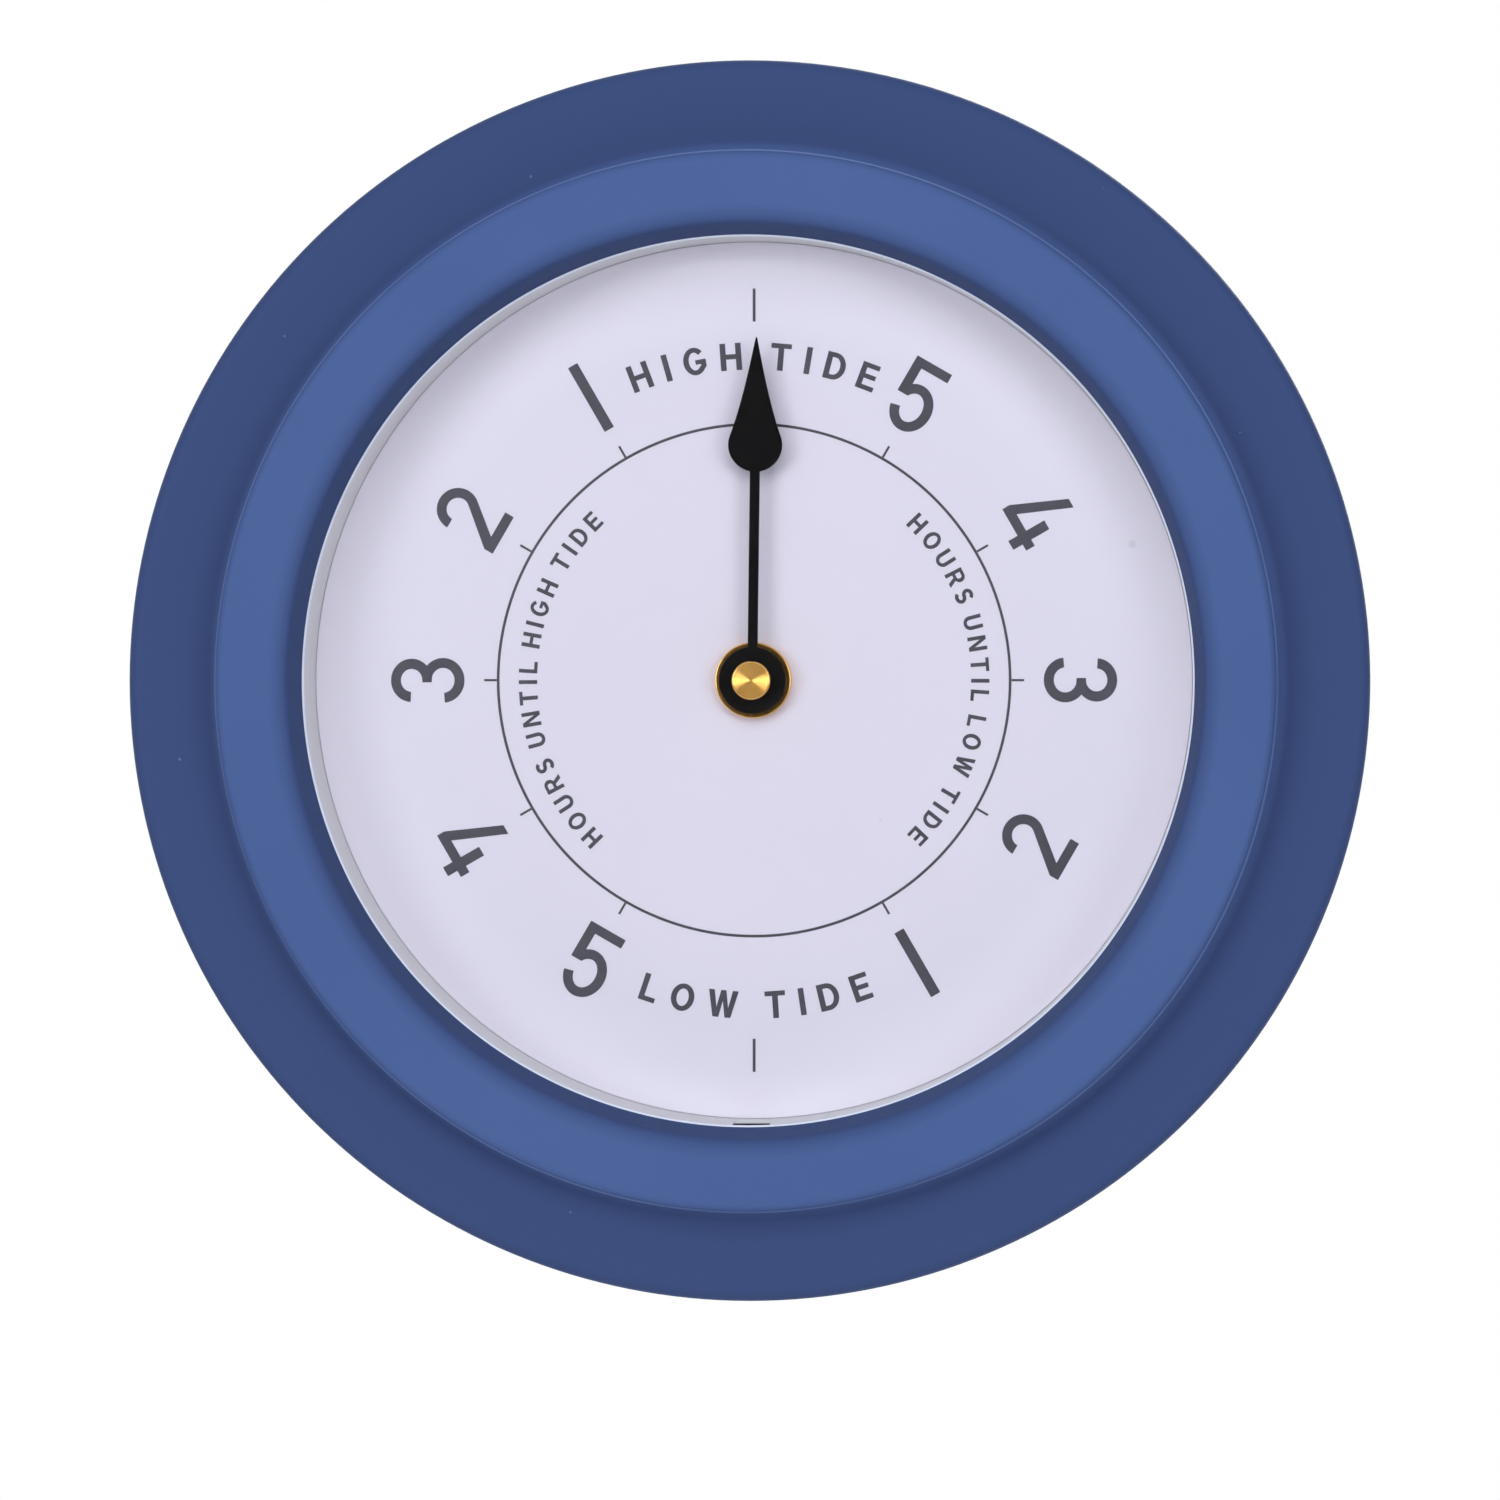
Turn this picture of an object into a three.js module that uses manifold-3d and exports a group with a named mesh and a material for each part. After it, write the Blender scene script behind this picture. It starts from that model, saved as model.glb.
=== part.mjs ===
// Outdoor wall clock with a single tide hand: pressed steel front, glass, moulded dial pan, closed back
// and a quartz movement with its stepping motor, wheel train and rear setting knob.
// Millimetres, +Z up, the dial faces -Y. Depths below are distances in front of the wall plane.
// The origin is the point of the hanger slot that bears on the wall nail, in the wall plane.
import * as THREE from "three";
import { mergeVertices } from "three/addons/utils/BufferGeometryUtils.js";
import Module from "manifold-3d";

const wasm = await Module();
wasm.setup();

// Clearances
const SEAT = 0.1; // between faces that rest on each other
const PLAY = 0.3; // radial, between a piece and the hole or rim that takes it
const PIVOT_PLAY = 0.15; // radial, between an arbor and its bearing
const OVERCUT = 1; // cutters run this far past the faces they open
const WELD = 1e-4; // vertices closer than this are one

// Pressed steel front
const OPENING_RADIUS = 96.6;
const RING_WIDTH = 17.4; // opening to step
const FLANGE_WIDTH = 21; // step to outer edge
const SHEET = 1;
const LIP_DEPTH = 7.4; // ring face to lip edge
const LIP_ROUND = 2;
const LIP_DRAFT = 15; // degrees
const SHOULDER_ROUND = 2.2;
const RING_RISE = 9.6; // flange to ring face
const COVE = 4.5;
const RIM_RISE = 0.6; // flange to outer rim
const EDGE_ROUND = 3.2;
const SKIRT_GAP = 1; // skirt edge to wall
const STUD_RADIUS = 2;
const STUD_LENGTH = 10;
const STUD_INSET = 2.5; // stud outside the cove
const STUD_NUT_RADIUS = 4;
const STUD_NUT_HEIGHT = 3.2;
const FIXINGS = 4;

// Glass and its seal
const GLASS_THICK = 2.5;
const GLASS_LAP = 5.4;
const GASKET_THICK = 1;
const GASKET_WIDTH = 4.4;

// Dial pan and dial
const PAN_FLOOR = 2;
const PAN_WALL = 2;
const PAN_FLANGE = 2.2;
const PAN_CLEAR = 1; // flange edge to the bend of the front
const PAN_DROP = 3.7; // flange face to the rear of the front's sheet
const WELL_DEPTH = 11.6; // dial face to glass
const WELL_DRAFT = 0.6;
const UPSTAND = 1.6;
const RIB_COUNT = 8;
const RIB_THICK = 1.6;
const RIB_HEIGHT = 5;
const RIB_CLEAR = 3.8; // rib end to the movement's corner
const BOSS_RADIUS = 4.2;
const BOSS_OFFSET = 11.4; // boss outside the opening
const SLOT_WIDTH = 8;
const SLOT_HEIGHT = 1.8;
const SLOT_DEPTH = 3.5;
const SLOT_DROP = 2.7; // slot behind the glass seat
const PANEL_WIDTH = 6.6;
const PANEL_HEIGHT = 4;
const PANEL_DEPTH = 0.7;
const PANEL_GAP = 1.5; // panel behind the slot
const DIAL_THICK = 0.5;

// Closed back
const LAND_STEP = 1.5; // wall land behind the cover plate
const LAND_WIDTH = 14.7;
const COVER_PLATE = 2;
const COVER_RIM = 5;
const COVER_RIM_WALL = 2;
const LID_CLEAR = 3; // ledge window to movement
const LID_THICK = 1.6;
const LID_CORNER = 4;
const LID_SEAL = 1;
const LEDGE_WIDTH = 3;
const LEDGE_THICK = 2;
const COLLAR_WALL = 2.4;
const TONGUE_WIDTH = 12;
const TONGUE_THICK = 1.2;
const THUMB_RADIUS = 7;
const THUMB_DEPTH = 0.8;
const SCREW_RADIUS = 1.3;
const SCREW_LENGTH = 13;
const SCREW_HEAD = 3.4;
const SCREW_HEAD_TOP = 2.4;
const SCREW_POINT = 1;
const SCREW_HEAD_HEIGHT = 1.1;

// Hanger
const HANG_DROP = 35; // nail below the top edge
const KEY_SLOT = 5; // slot width
const KEY_RUN = 12; // slot end to entry hole
const KEY_ENTRY = 5; // entry hole radius
const HANGER_WIDTH = 44;
const HANGER_MARGIN = 8;
const HANGER_THICK = 1.2;
const HANGER_CORNER = 3;
const HANG_WINDOW = 20;
const RIVET_RADIUS = 1.6;
const RIVET_HEAD = 3;
const RIVET_HEIGHT = 0.8;
const RIVET_SPREAD = 17;

// Movement housing
const MOVEMENT_DEPTH = 15;
const TRAIN_CLEAR = 0.93; // highest wheel to housing wall
const MOVEMENT_WALL = 1.5;
const MOVEMENT_FACE = 1.2;
const KNOB_GAP = 0.9; // knob to lid
const KNOB_PROUD = 1.2;
const TRAIN_SPACE = 8.8;
const PLATE_THICK = 1.2;
const POST_RADIUS = 1.6;
const BUSH_RADIUS = 4;
const BUSH_PROUD = 0.5;
const WASHER_THICK = 0.8;
const NUT_RADIUS = 8.35;
const NUT_HEIGHT = 3;
const NUT_CHAMFER = 0.5;

// Wheel train: each stage is a pinion of LEAVES that drives the wheel of the next arbor
const LEAVES = 7;
const WHEEL_THICK = 0.8;
const ARBOR_RADIUS = 0.6;
const PIVOT_DEPTH = 0.6;
const TOOTH_SHARE = 0.38; // tooth thickness over pitch
const ADDENDUM = 0.75;
const DEDENDUM = 1.2;
const TIP_TAPER = 0.45;
const ROOT_FLARE = 0.3;
const STAGES = [
  { name: "centre_wheel", teeth: 57, module: 0.4, layer: 7.2, turn: 0 },
  { name: "second_wheel", teeth: 53, module: 0.36, layer: 2.0, turn: 170, pinion: [6.3, 8.4] },
  { name: "third_wheel", teeth: 52, module: 0.34, layer: 5.0, turn: 60, pinion: [1.7, 3.8] },
  { name: "fourth_wheel", teeth: 52, module: 0.32, layer: 0.5, turn: 20, pinion: [4.5, 6.2] },
  { name: "fifth_wheel", teeth: 46, module: 0.34, layer: 3.0, turn: -35, pinion: [0.3, 2.7] },
];
const ROTOR_TURN = -30;
const ROTOR_PINION = [2.3, 4.2];
const MAGNET_RADIUS = 3;
const MAGNET_LAYER = [0.4, 2.6];
const TUBE_WALL = 0.65;

// Hand setting
const SETTING_TEETH = 30;
const SETTING_MODULE = 0.48;
const KNOB_TEETH = 10;
const KNOB_TURN = 215;
const KNOB_RADIUS = 5.4;
const KNOB_GRIPS = 16;
const KNOB_GROOVE = 0.4;
const KNOB_SHAFT = 1.5;
const SETTING_LIFT = 0.6; // setting wheel in front of the movement cover
const CLUTCH_RIM = 1.2;

// Motor
const STATOR_THICK = 1.2;
const STATOR_LAYER = 1.2;
const STATOR_GAP = 0.4;
const STATOR_RIM = 1.2;
const STATOR_LEFT = 4.8;
const STATOR_SIDE = 1.1; // stator to housing wall
const STATOR_LEG = 2.8;
const COIL_DROP = 7.3; // coil below the hand axis
const COIL_CLEAR = 2.7; // core leg to battery bay
const COIL_RADIUS = 2.9;
const BOBBIN_WALL = 0.4;
const BOBBIN_FLANGE = 0.9;
const CORE_WIDTH = 2.2;
const CORE_THICK = 1.2;

// Electronics and power
const BOARD = { width: 20, height: 13, thick: 0.8, side: 2.5, top: 1.5 };
const CHIP_RADIUS = 2.4;
const CHIP_HEIGHT = 0.8;
const CRYSTAL_RADIUS = 0.75;
const CRYSTAL_LENGTH = 6;
const CELL_RADIUS = 7.1;
const CELL_LENGTH = 49.2;
const CELL_NUB_RADIUS = 2.75;
const CELL_NUB = 1.1;
const CONTACT_THICK = 0.5;
const CONTACT_WIDTH = 8;
const CONTACT_ROOM = 1.9; // cell end to housing wall

// Tide hand
const HAND_LENGTH = 75.2;
const HAND_THICK = 1;
const HAND_BOSS = 7.3;
const HAND_STEM = 2.13;
const BULB_RADIUS = 5.9;
const BULB_CENTRE = 51.6;
const HAND_REST = 0.7; // degrees past the top mark
const HAND_LIFT = 0.5; // bush end to hand
const ARBOR_MAIN = 1.4;
const HUB_RADIUS = 2.6;
const CAP_RADIUS = 4.25;
const CAP_HEIGHT = 3;
const CAP_CHAMFER = 0.6;
const CAP_CROWN = 0.8;

// Facets round a full turn
const CASE_FACETS = 56;
const FINE = 40;
const TURNED = 28;
const SMALL = 16;
const TINY = 8;
const HEX = 6;
const CURVE_STEPS = 6;
const BEND_STEPS = 3;

// Depth stack, wall to front
const coverRear = LAND_STEP;
const coverFront = coverRear + COVER_PLATE;
const lidFront = coverRear + LID_THICK;
const ledgeRear = lidFront + 2 * SEAT + LID_SEAL;
const collarFront = Math.max(coverFront, ledgeRear) + LEDGE_THICK;
const knobRear = lidFront + KNOB_GAP;
const movementRear = knobRear + KNOB_PROUD;
const movementFront = movementRear + MOVEMENT_DEPTH;
const trainFront = movementFront - MOVEMENT_FACE;
const plateFront = trainFront - TRAIN_SPACE;
const plateRear = plateFront - PLATE_THICK;
const settingRear = movementRear + MOVEMENT_FACE + SETTING_LIFT;
const panRear = movementFront + 2 * SEAT + WASHER_THICK;
const panFront = panRear + PAN_FLOOR;
const dialRear = panFront + SEAT;
const dialFront = dialRear + DIAL_THICK;
const nutRear = dialFront + SEAT;
const bushFront = nutRear + NUT_HEIGHT + BUSH_PROUD;
const handRear = bushFront + HAND_LIFT;
const handFront = handRear + HAND_THICK;
const capRear = handFront + PLAY;
const glassRear = dialFront + WELL_DEPTH;
const glassFront = glassRear + GLASS_THICK;
const gasketRear = glassFront + SEAT;
const lipRear = gasketRear + GASKET_THICK + SEAT;
const ringFace = lipRear + LIP_DEPTH;
const flangeFace = ringFace - RING_RISE;
const panFlangeFront = flangeFace - SHEET - PAN_DROP;
const panFlangeRear = panFlangeFront - PAN_FLANGE;

// Radii and plan sizes that follow from the driving ones
const rad = THREE.MathUtils.degToRad;
const shoulderRadius = OPENING_RADIUS + RING_WIDTH;
const caseRadius = shoulderRadius + FLANGE_WIDTH;
const hangHeight = caseRadius - HANG_DROP; // nail above the hand axis
const glassRadius = OPENING_RADIUS + GLASS_LAP;
const panRadius = caseRadius - SHEET - EDGE_ROUND - PAN_CLEAR;
const coverRadius = caseRadius - SHEET - PLAY;
const landInner = coverRadius - LAND_WIDTH;
const studCircle = shoulderRadius + COVE + STUD_INSET;
const bossCircle = OPENING_RADIUS + BOSS_OFFSET;
const bushHole = BUSH_RADIUS + PLAY;
const arborHole = ARBOR_MAIN + PIVOT_PLAY + SEAT;
const tubeRadius = arborHole + TUBE_WALL;
const { plan: TRAIN, rotor: ROTOR_SITE } = trainPlan();
const trainTop = Math.max(...TRAIN.map((wheel) => wheel.site[1] + tipRadius(wheel.teeth, wheel.module)));
const housingInner = CELL_LENGTH / 2 + CONTACT_ROOM;
const housingHalf = housingInner + MOVEMENT_WALL;
const housingTop = trainTop + TRAIN_CLEAR + MOVEMENT_WALL;
const legFoot = -COIL_DROP - CORE_WIDTH;
const bayTop = legFoot - COIL_CLEAR - MOVEMENT_WALL;
const bayCentre = bayTop - PLAY - CELL_RADIUS;
const housingBottom = bayCentre - CELL_RADIUS - PLAY - MOVEMENT_WALL;
const statorRight = housingInner - STATOR_SIDE;
const ledgeWidth = 2 * (housingHalf + LID_CLEAR);
const ledgeHeight = housingTop - housingBottom + 2 * LID_CLEAR;
const lidCentre = (housingTop + housingBottom) / 2;
const lidBottom = lidCentre - ledgeHeight / 2 - LEDGE_WIDTH;
const slotEnd = hangHeight - KEY_SLOT / 2;
const entryHeight = slotEnd - KEY_RUN;

const FINISH = {
  paint: { color: 0x2f4478, roughness: 0.5, metalness: 0 },
  glass: { color: 0xf3f6f8, roughness: 0.04, metalness: 0, transparent: true, opacity: 0.12 },
  silicone: { color: 0xd9d9dc, roughness: 0.6, metalness: 0 },
  pan: { color: 0xdcdade, roughness: 0.5, metalness: 0 },
  dial: { color: 0xe2e0ee, roughness: 0.6, metalness: 0 },
  black: { color: 0x17171a, roughness: 0.45, metalness: 0 },
  hand: { color: 0x0c0c0e, roughness: 0.35, metalness: 0 },
  rubber: { color: 0x1c1c1c, roughness: 0.8, metalness: 0 },
  brass: { color: 0xb98a3a, roughness: 0.3, metalness: 1 },
  steel: { color: 0xaeb2b6, roughness: 0.35, metalness: 1 },
  gear: { color: 0xe9e4d4, roughness: 0.5, metalness: 0 },
  magnet: { color: 0x4b4b50, roughness: 0.5, metalness: 0.4 },
  copper: { color: 0xa7582c, roughness: 0.4, metalness: 1 },
  board: { color: 0x2f6b45, roughness: 0.6, metalness: 0 },
  cell: { color: 0x3c4146, roughness: 0.4, metalness: 0.3 },
};

// Closed solid from a three.js geometry, turned outwards if its profile ran the other way.
function solid(geometry) {
  const bare = geometry.index ? geometry.toNonIndexed() : geometry.clone();
  bare.deleteAttribute("normal");
  bare.deleteAttribute("uv");
  const merged = mergeVertices(bare, WELD);
  const positions = merged.attributes.position.array;
  const faces = [];
  const index = merged.index.array;
  for (let i = 0; i < index.length; i += 3) {
    const [a, b, c] = [index[i], index[i + 1], index[i + 2]];
    if (a !== b && b !== c && a !== c) faces.push([a, b, c]);
  }
  const make = (list) =>
    new wasm.Manifold(
      new wasm.Mesh({
        numProp: 3,
        vertProperties: positions,
        triVerts: new Uint32Array(list.flat()),
      }),
    );
  const made = make(faces);
  return made.volume() > 0 ? made : make(faces.map(([a, b, c]) => [a, c, b]));
}

// Turned piece about the depth axis, from [radius, depth] points.
function turned(profile, segments) {
  const points = profile.map(([r, s]) => new THREE.Vector2(r, -s));
  return solid(new THREE.LatheGeometry(points, segments));
}

function ring(inner, outer, rear, front, segments) {
  const profile = [
    [inner, rear],
    [outer, rear],
    [outer, front],
    [inner, front],
    [inner, rear],
  ];
  return turned(profile, segments);
}

function rod(radius, rear, front, x = 0, z = 0, segments = TINY) {
  const geometry = new THREE.CylinderGeometry(radius, radius, front - rear, segments);
  return solid(geometry.translate(x, -(rear + front) / 2, z));
}

function block(x0, x1, rear, front, z0, z1) {
  const geometry = new THREE.BoxGeometry(x1 - x0, front - rear, z1 - z0);
  return solid(geometry.translate((x0 + x1) / 2, -(rear + front) / 2, (z0 + z1) / 2));
}

// Flat outline drawn as seen from the front, given its thickness along the depth axis.
function slab(shape, rear, front, curveSegments = CURVE_STEPS) {
  const options = { depth: front - rear, bevelEnabled: false, curveSegments };
  const geometry = new THREE.ExtrudeGeometry(shape, options);
  return solid(geometry.rotateX(Math.PI / 2).translate(0, -rear, 0));
}

function polygon(points) {
  return new THREE.Shape(points.map(([x, z]) => new THREE.Vector2(x, z)));
}

function roundedRectangle(width, height, corner, x = 0, z = 0) {
  const shape = new THREE.Shape();
  const [w, h] = [width / 2 - corner, height / 2 - corner];
  shape.absarc(x + w, z + h, corner, 0, Math.PI / 2);
  shape.absarc(x - w, z + h, corner, Math.PI / 2, Math.PI);
  shape.absarc(x - w, z - h, corner, Math.PI, 1.5 * Math.PI);
  shape.absarc(x + w, z - h, corner, 1.5 * Math.PI, 2 * Math.PI);
  return shape;
}

function union(first, ...others) {
  return others.reduce((sum, other) => sum.add(other), first);
}

function cut(first, ...others) {
  return others.reduce((rest, other) => rest.subtract(other), first);
}

// Arc of [radius, depth] points round a centre, angles in degrees.
function arc(centre, radius, from, to, steps) {
  return Array.from({ length: steps + 1 }, (_, i) => {
    const a = rad(from + ((to - from) * i) / steps);
    return [centre[0] + radius * Math.cos(a), centre[1] + radius * Math.sin(a)];
  });
}

// Places evenly spaced round the hand axis, first one at the given angle.
function around(count, radius, first) {
  return Array.from({ length: count }, (_, i) => {
    const a = rad(first + (360 * i) / count);
    return [radius * Math.cos(a), radius * Math.sin(a)];
  });
}

const STUD_SITES = around(FIXINGS, studCircle, 0);
const BOSS_SITES = around(FIXINGS, bossCircle, 180 / FIXINGS);

function mesh(name, body, finish) {
  const made = body.getMesh();
  const geometry = new THREE.BufferGeometry();
  geometry.setAttribute("position", new THREE.BufferAttribute(made.vertProperties, 3));
  geometry.setIndex(new THREE.BufferAttribute(made.triVerts, 1));
  geometry.computeVertexNormals();
  const piece = new THREE.Mesh(geometry, new THREE.MeshStandardMaterial(finish));
  piece.name = name;
  return piece;
}

function group(name, ...pieces) {
  const made = new THREE.Group();
  made.name = name;
  made.add(...pieces);
  return made;
}

// Lip of the pressed sheet: drafted wall from the opening's edge, then a round onto the ring face.
function lipFace(inset, steps) {
  const draft = rad(LIP_DRAFT);
  const reach = LIP_DEPTH - LIP_ROUND * (1 - Math.sin(draft));
  const edge = OPENING_RADIUS + reach * Math.tan(draft) + LIP_ROUND * Math.cos(draft);
  const centre = [edge, ringFace - LIP_ROUND];
  const round = arc(centre, LIP_ROUND - inset, 180 - LIP_DRAFT, 90, steps);
  const [r, s] = round[0];
  return [[r - (s - lipRear) * Math.tan(draft), lipRear], ...round];
}

// One face of the pressed sheet, inset by the given thickness, from lip edge to skirt edge.
function sheetFace(inset, steps) {
  const start = shoulderRadius + COVE;
  const run = caseRadius - EDGE_ROUND - start;
  const flange = Array.from({ length: steps }, (_, i) => {
    const t = (i + 1) / (steps + 1);
    return [start + run * t, flangeFace + RIM_RISE * t * t * (3 - 2 * t) - inset];
  });
  const shoulder = [shoulderRadius - SHOULDER_ROUND, ringFace - SHOULDER_ROUND];
  const cove = [start, flangeFace + COVE];
  const edge = [caseRadius - EDGE_ROUND, flangeFace + RIM_RISE - EDGE_ROUND];
  return [
    ...lipFace(inset, steps),
    ...arc(shoulder, SHOULDER_ROUND - inset, 90, 0, steps),
    ...arc(cove, COVE + inset, 180, 270, BEND_STEPS),
    ...flange,
    ...arc(edge, EDGE_ROUND - inset, 90, 0, steps),
    [caseRadius - inset, SKIRT_GAP],
  ];
}

function caseFront() {
  const outside = sheetFace(0, BEND_STEPS);
  const inside = sheetFace(SHEET, 1).reverse();
  const shell = turned([...outside, ...inside, outside[0]], CASE_FACETS);
  const studRoot = flangeFace - SHEET / 2;
  const studs = STUD_SITES.map(([x, z]) =>
    rod(STUD_RADIUS, panFlangeRear - STUD_LENGTH, studRoot, x, z),
  );
  return mesh("case_front", union(shell, ...studs), FINISH.paint);
}

function lensSet() {
  const glass = turned(
    [
      [0, glassRear],
      [glassRadius, glassRear],
      [glassRadius, glassFront],
      [0, glassFront],
    ],
    FINE,
  );
  const gasket = ring(
    OPENING_RADIUS + SEAT,
    OPENING_RADIUS + GASKET_WIDTH,
    gasketRear,
    gasketRear + GASKET_THICK,
    FINE,
  );
  return group(
    "lens_set",
    mesh("glass_lens", glass, FINISH.glass),
    mesh("lens_gasket", gasket, FINISH.silicone),
  );
}

function dialPan() {
  const wallFoot = OPENING_RADIUS + PAN_WALL;
  const wallTop = OPENING_RADIUS + WELL_DRAFT;
  const rimInner = glassRadius + PLAY;
  const seat = glassRear - SEAT;
  const shell = turned(
    [
      [bushHole, panRear],
      [wallFoot, panRear],
      [wallTop + PAN_WALL, panFlangeRear],
      [panRadius, panFlangeRear],
      [panRadius, panFlangeFront],
      [rimInner + UPSTAND, panFlangeFront],
      [rimInner + UPSTAND, glassFront],
      [rimInner, glassFront],
      [rimInner, seat],
      [wallTop, seat],
      [OPENING_RADIUS, panFront],
      [bushHole, panFront],
      [bushHole, panRear],
    ],
    FINE,
  );
  const ribStart = Math.hypot(housingHalf, Math.max(housingTop, -housingBottom)) + RIB_CLEAR;
  const ribs = Array.from({ length: RIB_COUNT }, (_, i) => {
    const [half, front] = [RIB_THICK / 2, panRear + PAN_FLOOR / 2];
    const rib = block(ribStart, OPENING_RADIUS, panRear - RIB_HEIGHT, front, -half, half);
    return rib.rotate([0, (360 * (i + 0.5)) / RIB_COUNT, 0]);
  });
  const bossRear = coverFront + SEAT;
  const bosses = BOSS_SITES.map(([x, z]) =>
    rod(BOSS_RADIUS, bossRear, panFlangeRear + PAN_FLANGE / 2, x, z, SMALL),
  );
  const pilots = BOSS_SITES.map(([x, z]) =>
    rod(SCREW_RADIUS + PLAY, bossRear - OVERCUT, bossRear + SCREW_LENGTH, x, z),
  );
  const studHoles = STUD_SITES.map(([x, z]) =>
    rod(STUD_RADIUS + PLAY, panFlangeRear - OVERCUT, panFlangeFront + OVERCUT, x, z),
  );
  const slotFront = seat - SLOT_DROP;
  const slot = block(
    -SLOT_WIDTH / 2,
    SLOT_WIDTH / 2,
    slotFront - SLOT_HEIGHT,
    slotFront,
    -OPENING_RADIUS - SLOT_DEPTH,
    -OPENING_RADIUS + PAN_WALL,
  );
  const panelFront = slotFront - SLOT_HEIGHT - PANEL_GAP;
  const panel = block(
    -PANEL_WIDTH / 2,
    PANEL_WIDTH / 2,
    panelFront - PANEL_HEIGHT,
    panelFront,
    -OPENING_RADIUS - PANEL_DEPTH,
    -OPENING_RADIUS + PAN_WALL,
  );
  const pan = cut(union(shell, ...ribs, ...bosses), ...pilots, ...studHoles, slot, panel);
  const nuts = STUD_SITES.map(([x, z], i) => {
    const front = panFlangeRear - SEAT;
    const rear = front - STUD_NUT_HEIGHT;
    const nut = cut(
      rod(STUD_NUT_RADIUS, rear, front, x, z, HEX),
      rod(STUD_RADIUS + PLAY, rear - OVERCUT, front + OVERCUT, x, z),
    );
    return mesh(`stud_nut_${i + 1}`, nut, FINISH.steel);
  });
  const dial = ring(bushHole, OPENING_RADIUS - PLAY, dialRear, dialFront, FINE);
  return group(
    "dial_set",
    mesh("dial_pan", pan, FINISH.pan),
    ...nuts,
    mesh("dial_sheet", dial, FINISH.dial),
  );
}

// Keyhole outline: entry hole below, slot above it, as seen from the front.
function keyhole() {
  const reach = Math.asin(KEY_SLOT / 2 / KEY_ENTRY);
  const shape = new THREE.Shape();
  shape.absarc(0, slotEnd, KEY_SLOT / 2, 0, Math.PI);
  shape.absarc(0, entryHeight, KEY_ENTRY, Math.PI / 2 + reach, 2.5 * Math.PI - reach);
  return shape;
}

function hanger() {
  const [rear, front] = [coverFront + SEAT, coverFront + SEAT + HANGER_THICK];
  const top = hangHeight + HANGER_MARGIN;
  const bottom = entryHeight - KEY_ENTRY - HANGER_MARGIN;
  const middle = (top + bottom) / 2;
  const outline = roundedRectangle(HANGER_WIDTH, top - bottom, HANGER_CORNER, 0, middle);
  const sites = [-RIVET_SPREAD, RIVET_SPREAD];
  const [from, to] = [rear - OVERCUT, front + OVERCUT];
  const holes = sites.map((x) => rod(RIVET_RADIUS + PLAY, from, to, x, middle));
  const plate = cut(slab(outline, rear, front, BEND_STEPS), slab(keyhole(), from, to), ...holes);
  const rivets = sites.map((x, i) => {
    const headFront = coverRear - SEAT;
    const tailRear = front + SEAT;
    const rivet = turned(
      [
        [0, headFront - RIVET_HEIGHT],
        [RIVET_HEAD, headFront - RIVET_HEIGHT / 2],
        [RIVET_HEAD, headFront],
        [RIVET_RADIUS, headFront],
        [RIVET_RADIUS, tailRear],
        [RIVET_HEAD, tailRear],
        [RIVET_HEAD, tailRear + RIVET_HEIGHT],
        [0, tailRear + RIVET_HEIGHT],
      ],
      TINY,
    );
    const piece = mesh(`hanger_rivet_${i + 1}`, rivet, FINISH.steel);
    piece.position.set(x, 0, middle);
    return piece;
  });
  return group("hanger", mesh("hanger_plate", plate, FINISH.steel), ...rivets);
}

// Outline of the battery lid's opening, let out all round by the given margin.
function lidOutline(margin, corner = LID_CORNER) {
  const [width, height] = [ledgeWidth + 2 * margin, ledgeHeight + 2 * margin];
  return roundedRectangle(width, height, corner, 0, lidCentre);
}

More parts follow.
